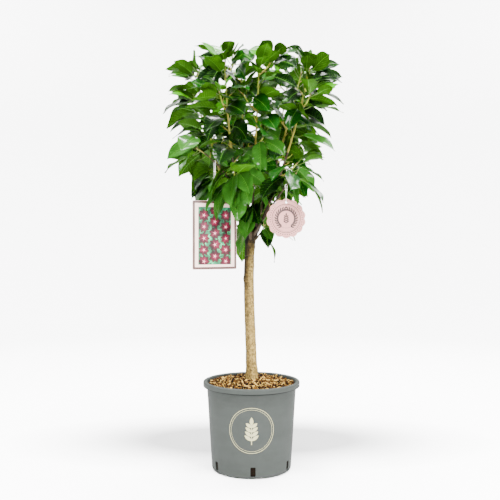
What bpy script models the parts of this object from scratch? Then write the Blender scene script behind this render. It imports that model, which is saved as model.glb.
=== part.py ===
"""Potted dwarf cherry tree, trained as a half standard.

A grey nursery pot holds the soil and a layer of bark chips. A clear stem rises to a knobbly head, from
which bare boughs spread like a goblet. Each bough ends in one mass of leafy twigs. A picture card and a
round tag hang on looped strings.

Units are metres, +Z is up and -Y is the side that the card faces. The origin is the middle of the
pot's flat underside.
"""

import math
import random
from dataclasses import dataclass

import bmesh
import bpy
from mathutils import Vector
from mathutils.bvhtree import BVHTree
from mathutils.kdtree import KDTree

# Clearance between solids that touch on the real plant
GAP = 0.0003

# Pot
POT_HEIGHT = 0.216
RIM_RADIUS = 0.120
RIM_DEPTH = 0.0125
RIM_ROUND = 0.0035
SHOULDER_RADIUS = 0.1108
FOOT_RADIUS = 0.0985
FOOT_ROUND = 0.006
WALL = 0.002
FLOOR = 0.003
TURN_STEPS = 32
SLOT_COUNT = 6
SLOT_WIDTH = 0.012
SLOT_BOTTOM = 0.006
SLOT_TOP = 0.029
SLOT_HEADING = -88.0
SLOT_DEPTH = 0.020

# Soil and the bark chips that cover it
SOIL_TOP = 0.192
BARK_EDGE = 0.2065
BARK_CROWN = 0.2185
BARK_FLAT_RADIUS = 0.030
BARK_RINGS = 4

# Trunk, from its flat cut on the bark to the head where the boughs spring
TRUNK_FOOT = BARK_CROWN + GAP
TRUNK_TOP = 0.603
TRUNK_BOW = 0.0064
BOW_LATE = 1.4
TRUNK_SWAY = 0.0015
TRUNK_STEPS = 15
FOOT_FLARE = 0.0022
FLARE_FADE = 0.022
FLARE_STEPS = (0.0, 0.5, 1.4)
STEM_RADIUS_LOW = 0.0138
STEM_RADIUS_HIGH = 0.0120
HEAD_HEIGHT = 0.583
HEAD_SWELL = 0.0042
HEAD_SPREAD = 0.017
HEAD_STEPS = (-1.65, -1.1, -0.55, 0.0, 0.55)
HEAD_CLOSING = 0.35

# Boughs taper from these radii, and a mass's stem carries the taper on to its tip
BOUGH_STEP = 0.022
COURSE_STEPS = 240
LIMB_TAPER = 0.8
STEM_TIP_RADIUS = 0.0014
STEM_CORNER_REACH = 1.15
STEM_STEP = 0.024

# Leaves. A stalk carries a blade, and both droop
GOLDEN_TURN = math.radians(137.5)
BLADE_LENGTH = 0.083
BLADE_SHARE_WIDE = 0.60
STALK_LENGTH = 0.024
STALK_RADIUS = 0.0011
STALK_ROOT_SHARE = 0.6
STALK_FREE_SHARE = 0.3
STALK_RANGE = (0.8, 1.25)
STALK_KEEL = 1.6
KEEL_SHARE = 0.02
BLADE_RANGE = (0.88, 1.12)
WIDTH_RANGE = (0.9, 1.1)
OUTLINE = ((0.36, 1.0), (0.72, 0.76))
YOUNG_SHARE = 0.68
LEAF_SPACING = 0.0208
LEAF_TRIES = (0.0, 0.5, -0.5, 1.0, -1.0, 1.6, -1.6, 2.4, -2.4)
RISE_OLD = math.radians(-34.0)
RISE_YOUNG = math.radians(42.0)
TILT_OLD = math.radians(42.0)
TILT_YOUNG = math.radians(36.0)
TILT_LEAN = 0.4
RISE_SPREAD = math.radians(8.0)
DROOP_RANGE = (20.0, 45.0)
ROLL_RANGE = (12.0, 48.0)
STALK_ONWARD = (-0.1, 1.1)
STALK_OUTWARD = 0.35
STALK_LIFTS = (-0.5, 0.85)
SPUR_LEAVES = 3
SPUR_YOUTH = 0.45
SPUR_STEP = 0.0026
SPUR_TURN = 0.85
NODE_SHARE = 0.35
TUFT = 5
TUFT_STEP = 0.0022
SPACE_MARGIN = 0.0012
SPACE_STEP = 0.006
LIMB_MARGIN = 0.0012

# Side twigs, one at every fourth place on a strong stem
TWIG_EVERY = 4
TWIG_LENGTHS = (0.045, 0.070)
TWIG_RADII = (0.0020, 0.0017, STEM_TIP_RADIUS)
TWIG_ONWARD = 0.8
TWIG_UPWARD = 0.45
TWIG_LEAF_SIZE = 0.93

# Hang tags
CARD_WIDTH = 0.116
CARD_HEIGHT = 0.165
CARD_THICKNESS = 0.0012
CARD_CORNER = 0.003
CARD_HOLE_DROP = 0.0095
TAG_RADIUS = 0.0465
TAG_SCALLOP = 0.0034
TAG_SCALLOPS = 14
TAG_POINTS = 56
TAG_THICKNESS = 0.0016
TAG_HOLE_DROP = 0.0085
HOLE_RADIUS = 0.0028
HOLE_POINTS = 12
STRING_RADIUS = 0.0008
STRING_SLACK = 0.0006
STRING_TURN = 6
STRING_DROPS = (0.35, 0.75)

UP = Vector((0.0, 0.0, 1.0))
SHARP = math.radians(35.0)


@dataclass(frozen=True)
class Limb:
    """One bough and the stem of the mass on it, which together follow one course from the head.

    heading is the compass of its course in degrees, 0 towards +X. lean_root and lean_tip are its angles
    from the vertical in degrees, and bend says how late the lean changes. bare is the bough's length,
    leafy the stem's. vigour is 1 on a limb that bears side twigs and spurs, and less on a weak one.
    youth is how young the wood is at the limb's tip, from 0 to 1, and size scales its leaves. claim is
    how much of the bough's end lies in the mass's own space.
    """

    heading: float
    lean_root: float
    lean_tip: float
    bare: float
    leafy: float
    root_height: float
    radius: float
    seed: int
    bend: float = 0.55
    vigour: float = 1.0
    youth: float = 1.0
    size: float = 1.0
    claim: float = 0.0


# The short weak shoots that fill the crown's foot
LOW = {"vigour": 0.5, "youth": 0.3, "claim": 0.035}
LIMBS = {
    "left": Limb(186, 40, 9, 0.106, 0.198, 0.580, 0.0042, 646, bend=0.63),
    "front_left": Limb(246, 49, 4, 0.133, 0.303, 0.566, 0.0041, 425, bend=0.53),
    "front": Limb(278, 26, 18, 0.108, 0.292, 0.580, 0.0040, 392, bend=0.3),
    "front_right": Limb(332, 47, 14, 0.145, 0.290, 0.566, 0.0042, 933, bend=0.3),
    "right": Limb(-5, 28, 14, 0.160, 0.255, 0.580, 0.0041, 898, bend=0.34),
    "back_right": Limb(51, 42, 14, 0.146, 0.328, 0.566, 0.0040, 580, bend=0.3),
    "back": Limb(117, 38, 14, 0.079, 0.309, 0.580, 0.0040, 652, bend=0.46),
    "back_left": Limb(161, 42, 10, 0.131, 0.316, 0.566, 0.0041, 18, bend=0.38),
    "centre": Limb(109, 21, 8, 0.160, 0.200, 0.590, 0.0040, 272, bend=0.53),
    "card": Limb(213, 16, 68, 0.227, 0.036, 0.577, 0.0034, 485, bend=1.5, vigour=0.5, youth=0.4),
    "tag": Limb(311, 40, 52, 0.190, 0.032, 0.562, 0.0034, 923, bend=1.0, vigour=0.5, youth=0.4),
    "low_front": Limb(274, 45, 4, 0.053, 0.050, 0.553, 0.0034, 356, bend=0.76, **LOW),
    "low_right": Limb(329, 73, 31, 0.030, 0.032, 0.556, 0.0028, 571, 0.43, 0.5, 0.5, 0.75, 0.01),
    "low_back_right": Limb(33, 47, 11, 0.059, 0.140, 0.553, 0.0034, 447, bend=0.45, **LOW),
    "low_back": Limb(63, 62, 7, 0.057, 0.091, 0.553, 0.0034, 229, bend=0.46, **LOW),
    "low_back_left": Limb(95, 68, 10, 0.045, 0.030, 0.553, 0.0034, 605, bend=0.79, **LOW),
    "low_left": Limb(151, 48, 30, 0.046, 0.046, 0.553, 0.0034, 267, bend=0.5, **LOW),
}


@dataclass(frozen=True)
class Leaf:
    """Where a leaf's stalk is rooted, how it points, and its size. Angles are in radians."""

    root: Vector
    heading: float
    stalk_rise: float
    blade_rise: float
    droop: float
    roll: float
    stalk: float
    blade: float
    width: float


def lerp(low, high, share):
    return low + (high - low) * share


def pointing(heading, rise):
    """The unit vector with this compass heading and this angle above the horizon."""
    flat = math.cos(rise)
    return Vector((math.cos(heading) * flat, math.sin(heading) * flat, math.sin(rise)))


def clear_scene():
    for obj in list(bpy.data.objects):
        bpy.data.objects.remove(obj)


def new_collection(name, shown=True):
    collection = bpy.data.collections.new(name)
    collection.hide_render = not shown
    bpy.context.scene.collection.children.link(collection)
    return collection


def move_to(obj, collection):
    for holder in list(obj.users_collection):
        holder.objects.unlink(obj)
    collection.objects.link(obj)
    return obj


def principled(name, colour, roughness, metallic=0.0):
    material = bpy.data.materials.new(name)
    material.use_nodes = True
    shader = material.node_tree.nodes["Principled BSDF"]
    shader.inputs["Base Color"].default_value = (*colour, 1.0)
    shader.inputs["Roughness"].default_value = roughness
    shader.inputs["Metallic"].default_value = metallic
    return material


def finish(obj, material, smooth=True):
    """Gives an object its material, and shades its round faces smooth."""
    obj.data.materials.clear()
    obj.data.materials.append(material)
    if smooth and obj.type == "MESH":
        obj.data.shade_smooth()
        obj.data.set_sharp_from_angle(angle=SHARP)
    return obj


def arc(centre, radius, start, end, steps):
    """Points on an arc in the plane of a profile. Angles are in degrees, 0 outwards and 90 up."""
    turns = (math.radians(lerp(start, end, k / steps)) for k in range(steps + 1))
    return [(centre[0] + radius * math.cos(a), centre[1] + radius * math.sin(a)) for a in turns]


def turned(name, profile, collection):
    """A solid of revolution about Z, from a profile that runs down its outer side."""
    mesh = bpy.data.meshes.new(name)
    points = [(radius, 0.0, height) for radius, height in profile]
    mesh.from_pydata(points, [(k, k + 1) for k in range(len(points) - 1)], [])
    obj = bpy.data.objects.new(name, mesh)
    collection.objects.link(obj)
    screw = obj.modifiers.new("turn", "SCREW")
    screw.steps = screw.render_steps = TURN_STEPS
    screw.use_merge_vertices = True
    screw.merge_threshold = 0.0001
    screw.use_smooth_shade = True
    return obj


def as_mesh(obj, collection):
    """Replaces an object by the mesh that it evaluates to, with its loose caps welded."""
    bpy.context.view_layer.update()
    graph = bpy.context.evaluated_depsgraph_get()
    mesh = bpy.data.meshes.new_from_object(obj.evaluated_get(graph))
    bm = bmesh.new()
    bm.from_mesh(mesh)
    bmesh.ops.remove_doubles(bm, verts=bm.verts, dist=1e-6)
    bmesh.ops.recalc_face_normals(bm, faces=bm.faces)
    bm.to_mesh(mesh)
    bm.free()
    name = obj.name
    place = obj.matrix_world.copy()
    bpy.data.objects.remove(obj)
    made = bpy.data.objects.new(name, mesh)
    mesh.name = name
    made.matrix_world = place
    collection.objects.link(made)
    return made


def tube(name, points, radii, collection, sides=None, closed=False, fineness=1):
    """A tapered round tube as a curve. sides is an object whose outline replaces the round section."""
    curve = bpy.data.curves.new(name, "CURVE")
    curve.dimensions = "3D"
    curve.use_fill_caps = True
    if sides is None:
        curve.bevel_depth = 1.0
        curve.bevel_resolution = fineness
    else:
        curve.bevel_mode = "OBJECT"
        curve.bevel_object = sides
    spline = curve.splines.new("POLY")
    spline.points.add(len(points) - 1)
    spline.use_cyclic_u = closed
    for knot, point, radius in zip(spline.points, points, radii):
        knot.co = (*point, 1.0)
        knot.radius = radius
    obj = bpy.data.objects.new(name, curve)
    collection.objects.link(obj)
    return obj


def ring_outline(name, count, collection):
    """A flat outline with this many corners on a circle of radius 1, for a tube's section."""
    curve = bpy.data.curves.new(name, "CURVE")
    curve.dimensions = "2D"
    spline = curve.splines.new("POLY")
    spline.points.add(count - 1)
    spline.use_cyclic_u = True
    for k, knot in enumerate(spline.points):
        turn = -math.tau * k / count
        knot.co = (math.cos(turn), math.sin(turn), 0.0, 1.0)
    obj = bpy.data.objects.new(name, curve)
    obj.hide_render = True
    obj.display_type = "WIRE"
    collection.objects.link(obj)
    return obj


def boolean(obj, operation, other):
    """Cuts or joins a mesh with an object or with a whole collection, and keeps the result."""
    modifier = obj.modifiers.new(operation.lower(), "BOOLEAN")
    modifier.operation = operation
    modifier.solver = "EXACT"
    if isinstance(other, bpy.types.Collection):
        modifier.operand_type = "COLLECTION"
        modifier.collection = other
        modifier.solver = "MANIFOLD"
    else:
        modifier.object = other
    bpy.context.view_layer.update()
    graph = bpy.context.evaluated_depsgraph_get()
    joined = bpy.data.meshes.new_from_object(obj.evaluated_get(graph))
    obj.modifiers.remove(modifier)
    obj.data = joined
    joined.name = obj.name
    return obj


def inner_radius(height):
    """The radius of the pot's inside at a height."""
    share = (height - FOOT_ROUND) / (POT_HEIGHT - RIM_DEPTH - FOOT_ROUND)
    return lerp(FOOT_RADIUS, SHOULDER_RADIUS, share) - WALL


def make_pot(model, cutters):
    """A tapered shell with a turned-down rim, rounded at the foot, with drainage slots above the foot."""
    rim_top = POT_HEIGHT - RIM_ROUND
    lip_in = RIM_RADIUS - WALL
    profile = [(0.0, FLOOR), (FOOT_RADIUS - WALL - FOOT_ROUND, FLOOR)]
    profile += [(inner_radius(FLOOR + FOOT_ROUND), FLOOR + FOOT_ROUND)]
    profile += [(inner_radius(rim_top), rim_top)]
    profile += arc((inner_radius(rim_top) + RIM_ROUND, rim_top), RIM_ROUND, 180, 90, 2)[1:]
    profile += arc((RIM_RADIUS - RIM_ROUND, rim_top), RIM_ROUND, 90, 0, 3)
    profile += [(RIM_RADIUS, POT_HEIGHT - RIM_DEPTH), (lip_in, POT_HEIGHT - RIM_DEPTH)]
    profile += [(lip_in, rim_top), (inner_radius(rim_top) + WALL, rim_top)]
    profile += [(FOOT_RADIUS, FOOT_ROUND)]
    profile += arc((FOOT_RADIUS - FOOT_ROUND, FOOT_ROUND), FOOT_ROUND, 0, -90, 3)[1:]
    profile += [(0.0, 0.0)]
    pot = as_mesh(turned("pot", profile, model), model)
    for k in range(SLOT_COUNT):
        heading = math.radians(SLOT_HEADING + 360.0 * k / SLOT_COUNT)
        middle = pointing(heading, 0.0) * FOOT_RADIUS
        middle.z = 0.5 * (SLOT_BOTTOM + SLOT_TOP)
        bpy.ops.mesh.primitive_cube_add(size=1.0, location=middle)
        slot = bpy.context.object
        slot.name = f"slot_{k}"
        slot.rotation_euler.z = heading
        slot.scale = (SLOT_DEPTH, SLOT_WIDTH, SLOT_TOP - SLOT_BOTTOM)
        move_to(slot, cutters)
    boolean(pot, "DIFFERENCE", cutters)
    return finish(pot, principled("pot grey", (0.235, 0.255, 0.245), 0.5))


def make_soil(model):
    """The root ball of soil that fills the pot up to the bark."""
    profile = [(0.0, SOIL_TOP), (inner_radius(SOIL_TOP) - GAP, SOIL_TOP)]
    profile += [(inner_radius(FLOOR + FOOT_ROUND) - GAP, FLOOR + FOOT_ROUND + GAP)]
    profile += [(FOOT_RADIUS - WALL - FOOT_ROUND, FLOOR + GAP), (0.0, FLOOR + GAP)]
    soil = as_mesh(turned("soil", profile, model), model)
    return finish(soil, principled("soil", (0.045, 0.028, 0.018), 0.95))


def bark_height(radius):
    """The top of the bark: flat round the trunk, then falling in a smooth curve to the pot's wall."""
    reach = inner_radius(BARK_EDGE) - BARK_FLAT_RADIUS
    share = min(max((radius - BARK_FLAT_RADIUS) / reach, 0.0), 1.0)
    return lerp(BARK_CROWN, BARK_EDGE, 0.5 - 0.5 * math.cos(math.pi * share))


def make_bark(model):
    """The loose layer of bark chips on the soil, as one domed disc."""
    edge = inner_radius(BARK_EDGE) - GAP
    radii = [lerp(BARK_FLAT_RADIUS, edge, k / BARK_RINGS) for k in range(BARK_RINGS + 1)]
    profile = [(0.0, BARK_CROWN)] + [(radius, bark_height(radius)) for radius in radii]
    bottom = SOIL_TOP + GAP
    profile += [(inner_radius(bottom) - GAP, bottom), (0.0, bottom)]
    bark = as_mesh(turned("bark_chips", profile, model), model)
    return finish(bark, principled("bark chips", (0.40, 0.23, 0.09), 0.85))


def trunk_centre(height):
    """Upright in its flare, the trunk bows a little to the left on its way up, most of all in its upper half."""
    upright = TRUNK_FOOT + FLARE_FADE
    share = max(0.0, height - upright) / (TRUNK_TOP - upright)
    bow = TRUNK_BOW * math.sin(math.pi * share**BOW_LATE)
    return Vector((-bow, TRUNK_SWAY * math.sin(math.tau * share), height))


def trunk_radius(height):
    """Flared at the foot, nearly even along the stem, swollen at the head and rounded off above it."""
    share = (height - TRUNK_FOOT) / (TRUNK_TOP - TRUNK_FOOT)
    flare = FOOT_FLARE * math.exp(-(height - TRUNK_FOOT) / FLARE_FADE)
    swell = HEAD_SWELL * math.exp(-(((height - HEAD_HEIGHT) / HEAD_SPREAD) ** 2))
    closing = 1.0 - HEAD_CLOSING * max(0.0, (height - HEAD_HEIGHT) / (TRUNK_TOP - HEAD_HEIGHT)) ** 2
    return (lerp(STEM_RADIUS_LOW, STEM_RADIUS_HIGH, share) + flare + swell) * closing


def trunk_heights():
    """Closer together at the flare and at the head, where the section changes."""
    low = [TRUNK_FOOT + k * FLARE_FADE for k in FLARE_STEPS]
    high = [HEAD_HEIGHT + k * HEAD_SPREAD for k in HEAD_STEPS] + [TRUNK_TOP]
    middle = TRUNK_STEPS - len(low) - len(high)
    between = [lerp(low[-1], high[0], (k + 1) / (middle + 1)) for k in range(middle)]
    return low + between + high


def trunk_tube(name, extra, collection):
    heights = trunk_heights()
    points = [trunk_centre(height) for height in heights]
    points[0] -= UP * extra
    points[-1] += UP * extra
    radii = [trunk_radius(height) + extra for height in heights]
    return tube(name, points, radii, collection, fineness=3)


def make_trunk(model):
    trunk = as_mesh(trunk_tube("trunk", 0.0, model), model)
    return finish(trunk, principled("trunk bark", (0.42, 0.32, 0.18), 0.8))


def course(limb, start, length, step):
    """Points from start to length along a limb's centre line, at most step apart.

    The line starts inside the trunk's head, so that a root can be cut to the head's surface.
    """
    whole = limb.bare + limb.leafy
    where = trunk_centre(limb.root_height)
    walked = [where.copy()]
    for k in range(COURSE_STEPS):
        share = (k + 0.5) / COURSE_STEPS
        lean = math.radians(lerp(limb.lean_root, limb.lean_tip, share**limb.bend))
        where = where + pointing(math.radians(limb.heading), math.pi / 2 - lean) * (whole / COURSE_STEPS)
        walked.append(where.copy())
    count = max(2, math.ceil(length / step))
    points = []
    for k in range(count + 1):
        at = (start + length * k / count) / whole * COURSE_STEPS
        low = min(int(at), COURSE_STEPS - 1)
        points.append(walked[low].lerp(walked[low + 1], at - low))
    return points


def limb_radius(limb, along):
    """The limb tapers evenly from its root to the tip of its mass's stem."""
    return lerp(limb.radius, STEM_TIP_RADIUS, (along / (limb.bare + limb.leafy)) ** LIMB_TAPER)


def bough_line(limb):
    points = course(limb, 0.0, limb.bare, BOUGH_STEP)
    radii = [limb_radius(limb, limb.bare * k / (len(points) - 1)) for k in range(len(points))]
    return points, radii


def stem_line(limb):
    """The mass's stem, which starts one gap past the bough's tip and carries on its course."""
    start = limb.bare + GAP
    length = limb.leafy - GAP
    points = course(limb, start, length, STEM_STEP)
    radii = [limb_radius(limb, start + length * k / (len(points) - 1)) for k in range(len(points))]
    return points, radii


def make_boughs(model, cutters):
    """Each bough is one tapering limb, whose root is cut a gap clear of the trunk's head."""
    head = as_mesh(trunk_tube("head_cutter", GAP, cutters), cutters)
    head.hide_render = True
    bark = principled("bough bark", (0.30, 0.20, 0.10), 0.75)
    boughs = []
    for name, limb in LIMBS.items():
        points, radii = bough_line(limb)
        bough = as_mesh(tube(f"bough_{name}", points, radii, model), model)
        boughs.append(finish(boolean(bough, "DIFFERENCE", head), bark))
    return boughs


def string_loop(hanger):
    """A closed loop of string over a limb and down through a tag's hole, twisted in between."""
    limb = LIMBS[hanger.limb]
    over, hole = hanger_place(hanger)
    facing = pointing(math.radians(hanger.facing), 0.0)
    square = pointing(math.radians(limb.heading + 90.0), 0.0)
    square = square if square.dot(facing) > 0.0 else -square
    before, _, after = course(limb, hanger.along - 0.001, 0.002, 0.001)
    slope = (after - before).normalized()
    wide = limb_radius(limb, hanger.along) + STRING_RADIUS + STRING_SLACK
    tall = wide / math.hypot(slope.x, slope.y)
    narrow = 0.5 * CARD_THICKNESS + STRING_RADIUS + STRING_SLACK
    low = hole + UP * (HOLE_RADIUS - STRING_RADIUS - GAP)
    points = []
    for k in range(STRING_TURN + 1):
        turn = math.pi * k / STRING_TURN
        points.append(over + square * (wide * math.cos(turn)) + UP * (tall * math.sin(turn)))
    for share in STRING_DROPS:
        points.append(over.lerp(low, share) - square.slerp(facing, share) * lerp(wide, narrow, share))
    for k in range(STRING_TURN + 1):
        turn = math.pi * (1.0 + k / STRING_TURN)
        points.append(low + UP * (narrow * (1.0 + math.sin(turn))) + facing * (narrow * math.cos(turn)))
    for share in reversed(STRING_DROPS):
        points.append(over.lerp(low, share) + square.slerp(facing, share) * lerp(wide, narrow, share))
    return points


def flat_tag(name, outline, thickness, collection):
    """A flat tag with a round hole at its origin, standing on edge in the XZ plane and facing -Y."""
    curve = bpy.data.curves.new(name, "CURVE")
    curve.dimensions = "2D"
    curve.fill_mode = "BOTH"
    curve.extrude = 0.5 * thickness
    for corners in (outline, arc((0.0, 0.0), HOLE_RADIUS, 0, 360, HOLE_POINTS)[:-1]):
        spline = curve.splines.new("POLY")
        spline.points.add(len(corners) - 1)
        spline.use_cyclic_u = True
        for knot, (across, up) in zip(spline.points, corners):
            knot.co = (across, up, 0.0, 1.0)
    obj = bpy.data.objects.new(name, curve)
    obj.rotation_euler.x = math.pi / 2
    collection.objects.link(obj)
    return obj


def card_outline():
    """The card's rounded rectangle, with its hole at the origin near the top edge."""
    right, top = 0.5 * CARD_WIDTH - CARD_CORNER, CARD_HOLE_DROP - CARD_CORNER
    low = CARD_HOLE_DROP - CARD_HEIGHT + CARD_CORNER
    middles = ((right, top, 0), (-right, top, 90), (-right, low, 180), (right, low, 270))
    return [point for x, z, turn in middles for point in arc((x, z), CARD_CORNER, turn, turn + 90, 2)]


def tag_outline():
    """The round tag's even scallops, with its hole at the origin near the top edge."""
    middle = TAG_HOLE_DROP - TAG_RADIUS
    points = []
    for k in range(TAG_POINTS):
        turn = math.tau * k / TAG_POINTS
        reach = TAG_RADIUS - TAG_SCALLOP + TAG_SCALLOP * abs(math.cos(0.5 * TAG_SCALLOPS * turn))
        points.append((reach * math.sin(turn), middle + reach * math.cos(turn)))
    return points


@dataclass(frozen=True)
class Hanger:
    """What hangs from a limb: where along the limb, how far below it, and the compass of its face."""

    limb: str
    along: float
    drop: float
    facing: float


HANGERS = {
    "card": Hanger("card", 0.207, 0.103, 297.0),
    "tag": Hanger("tag", 0.182, 0.038, 274.0),
}


def hanger_place(hanger):
    """The limb's centre under the string, and the middle of the hole."""
    over = course(LIMBS[hanger.limb], hanger.along, 0.001, 0.001)[0]
    return over, over - UP * hanger.drop


def make_hangers(model):
    """The picture card and the round tag, each on its own loop of string."""
    made = []
    looks = {
        "card": (card_outline(), CARD_THICKNESS, principled("card", (0.75, 0.62, 0.56), 0.5)),
        "tag": (tag_outline(), TAG_THICKNESS, principled("tag", (0.66, 0.46, 0.42), 0.7)),
    }
    cord = principled("string", (0.85, 0.85, 0.82), 0.8)
    for name, hanger in HANGERS.items():
        outline, thickness, material = looks[name]
        plate = flat_tag(f"hang_{name}", outline, thickness, model)
        plate.location = hanger_place(hanger)[1]
        plate.rotation_euler.z = math.radians(hanger.facing + 90.0)
        made.append(finish(as_mesh(plate, model), material, smooth=False))
        path = string_loop(hanger)
        loop = tube(f"{name}_string", path, [STRING_RADIUS] * len(path), model, closed=True)
        made.append(finish(as_mesh(loop, model), cord))
    return made


def blade_point(leaf, share):
    """A point on the blade's midline, its direction there and its level side vector."""
    end = leaf.root + pointing(leaf.heading, leaf.stalk_rise) * leaf.stalk
    rise = leaf.blade_rise - leaf.droop * share
    level = (math.sin(leaf.blade_rise) - math.sin(rise)) / leaf.droop
    lift = (math.cos(rise) - math.cos(leaf.blade_rise)) / leaf.droop
    flat = pointing(leaf.heading, 0.0)
    return end + flat * (leaf.blade * level) + UP * (leaf.blade * lift), rise


def leaf_frame(leaf, rise):
    """The side and the upper face's normal of a leaf where it has this rise."""
    side = Vector((-math.sin(leaf.heading), math.cos(leaf.heading), 0.0))
    normal = pointing(leaf.heading, rise).cross(side)
    tilted = side * math.cos(leaf.roll) + normal * math.sin(leaf.roll)
    return tilted, normal * math.cos(leaf.roll) - side * math.sin(leaf.roll)


def corners_at(leaf, centre, rise, half, depth):
    """The left edge, right edge and keel of a leaf's section round a point of its midline."""
    side, normal = leaf_frame(leaf, rise)
    return centre + side * half, centre - side * half, centre - normal * depth


def leaf_sections(leaf):
    """Sections at the stalk's root, the stalk's end and the blade's two widest places, and the tip."""
    slim = STALK_RADIUS * STALK_ROOT_SHARE
    sections = [corners_at(leaf, leaf.root, leaf.stalk_rise, slim, slim)]
    stalk_end = blade_point(leaf, 0.0)[0]
    sections.append(corners_at(leaf, stalk_end, leaf.stalk_rise, STALK_RADIUS, STALK_KEEL * STALK_RADIUS))
    for share, spread in OUTLINE:
        centre, rise = blade_point(leaf, share)
        sections.append(corners_at(leaf, centre, rise, 0.5 * leaf.width * spread, KEEL_SHARE * leaf.blade))
    return sections, blade_point(leaf, 1.0)[0]


def leaf_mesh(name, leaf, collection):
    """A thin closed leaf, lofted from its stalk's root through its blade to its tip.

    The blade is flat above. Below, every face of its further half meets at one keel.
    """
    sections, tip = leaf_sections(leaf)
    bm = bmesh.new()
    rings = [[bm.verts.new(corner) for corner in section] for section in sections[:3]]
    for low, high in zip(rings, rings[1:]):
        for k in range(3):
            n = (k + 1) % 3
            bm.faces.new((low[k], low[n], high[n]))
            bm.faces.new((low[k], high[n], high[k]))
    bm.faces.new(rings[0][::-1])
    left, right, keel = rings[-1]
    far_left, far_right = (bm.verts.new(corner) for corner in sections[3][:2])
    apex = bm.verts.new(tip)
    edge = [left, far_left, apex, far_right, right]
    for near, far in zip(edge, edge[1:]):
        bm.faces.new((keel, near, far))
    bm.faces.new((left, right, far_left))
    bm.faces.new((right, far_right, far_left))
    bm.faces.new((far_left, far_right, apex))
    bmesh.ops.recalc_face_normals(bm, faces=bm.faces)
    mesh = bpy.data.meshes.new(name)
    bm.to_mesh(mesh)
    bm.free()
    obj = bpy.data.objects.new(name, mesh)
    collection.objects.link(obj)
    return obj


def leaf_nets(leaf):
    """Triangles for testing what a leaf would touch: its blade alone, and its blade and free stalk."""
    sections, tip = leaf_sections(leaf)
    stalk_end, (left, right, keel), (far_left, far_right, _) = sections[1:]
    stalk_start = leaf.root.lerp(stalk_end[0], STALK_FREE_SHARE)
    points = [stalk_end[2], left, right, far_left, far_right, tip, keel, stalk_start, *stalk_end[:2]]
    above = [(0, 1, 2), (1, 3, 2), (2, 3, 4), (3, 5, 4)]
    below = [(0, 1, 6), (0, 6, 2), (1, 3, 6), (2, 6, 4), (3, 5, 6), (4, 6, 5)]
    blade = BVHTree.FromPolygons(points, above + below)
    return blade, BVHTree.FromPolygons(points, above + below + [(7, 8, 9)])


def net_of(obj):
    points = [obj.matrix_world @ v.co for v in obj.data.vertices]
    return points, [tuple(p.vertices) for p in obj.data.polygons]


def guard_tree():
    """Everything that no leaf may touch, each a margin larger than life: limbs, strings and tags."""
    guards = new_collection("guards", shown=False)
    nets = [net_of(as_mesh(trunk_tube("guard", LIMB_MARGIN, guards), guards))]
    for limb in LIMBS.values():
        points, radii = bough_line(limb)
        fat = [radius + LIMB_MARGIN for radius in radii]
        nets.append(net_of(as_mesh(tube("guard", points, fat, guards), guards)))
    for hanger in HANGERS.values():
        path = string_loop(hanger)
        fat = [STRING_RADIUS + LIMB_MARGIN] * len(path)
        nets.append(net_of(as_mesh(tube("guard", path, fat, guards, closed=True), guards)))
    nets += hanger_nets()
    for obj in list(guards.objects):
        bpy.data.objects.remove(obj)
    points, faces = [], []
    for more_points, more_faces in nets:
        faces += [tuple(k + len(points) for k in face) for face in more_faces]
        points += more_points
    return BVHTree.FromPolygons(points, faces)


def hanger_nets():
    """A plain box round each tag."""
    margin = 2 * LIMB_MARGIN
    sizes = {
        "card": (0.5 * CARD_WIDTH, CARD_HOLE_DROP, CARD_HOLE_DROP - CARD_HEIGHT),
        "tag": (TAG_RADIUS, TAG_HOLE_DROP, TAG_HOLE_DROP - 2 * TAG_RADIUS),
    }
    nets = []
    for name, hanger in HANGERS.items():
        half, top, low = sizes[name]
        hole = hanger_place(hanger)[1]
        across = pointing(math.radians(hanger.facing), 0.0)
        along = Vector((-across.y, across.x, 0.0)) * (half + margin)
        high, deep = UP * (top + margin), UP * (low - margin)
        corners = []
        for depth in (-margin, margin):
            face = hole + across * depth
            corners += [face - along + high, face + along + high, face + along + deep, face - along + deep]
        sides = [(0, 1, 2, 3), (4, 5, 6, 7)] + [(k, (k + 1) % 4, 4 + (k + 1) % 4, 4 + k) for k in range(4)]
        nets.append((corners, sides))
    return nets


class Space:
    """The part of the crown that lies nearer one mass's stem than any other's."""

    def __init__(self, name):
        self.own = tree_of([name])
        self.others = tree_of([other for other in LIMBS if other != name])

    def holds(self, point):
        return self.own.find(point)[2] + SPACE_MARGIN < self.others.find(point)[2]


def claimed(limb):
    """Close points along what a mass's space follows: its stem, and some of the bough on a low limb."""
    return course(limb, limb.bare - limb.claim, limb.claim + limb.leafy, SPACE_STEP)


def tree_of(names):
    """A search tree of the points that these masses' spaces follow."""
    points = [point for name in names for point in claimed(LIMBS[name])]
    tree = KDTree(len(points))
    for k, point in enumerate(points):
        tree.insert(point, k)
    tree.balance()
    return tree


def walk(points, along):
    """The place and direction at a distance along a line of points."""
    for low, high in zip(points, points[1:]):
        length = (high - low).length
        if along <= length:
            return low.lerp(high, along / length), (high - low) / length
        along -= length
    return points[-1].copy(), (points[-1] - points[-2]).normalized()


def length_of(points):
    return sum((high - low).length for low, high in zip(points, points[1:]))


def side_ways(along, turn):
    """The direction square to a twig, turned round it."""
    level = along.cross(UP).normalized()
    other = level.cross(along)
    return level * math.cos(turn) + other * math.sin(turn)


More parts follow.
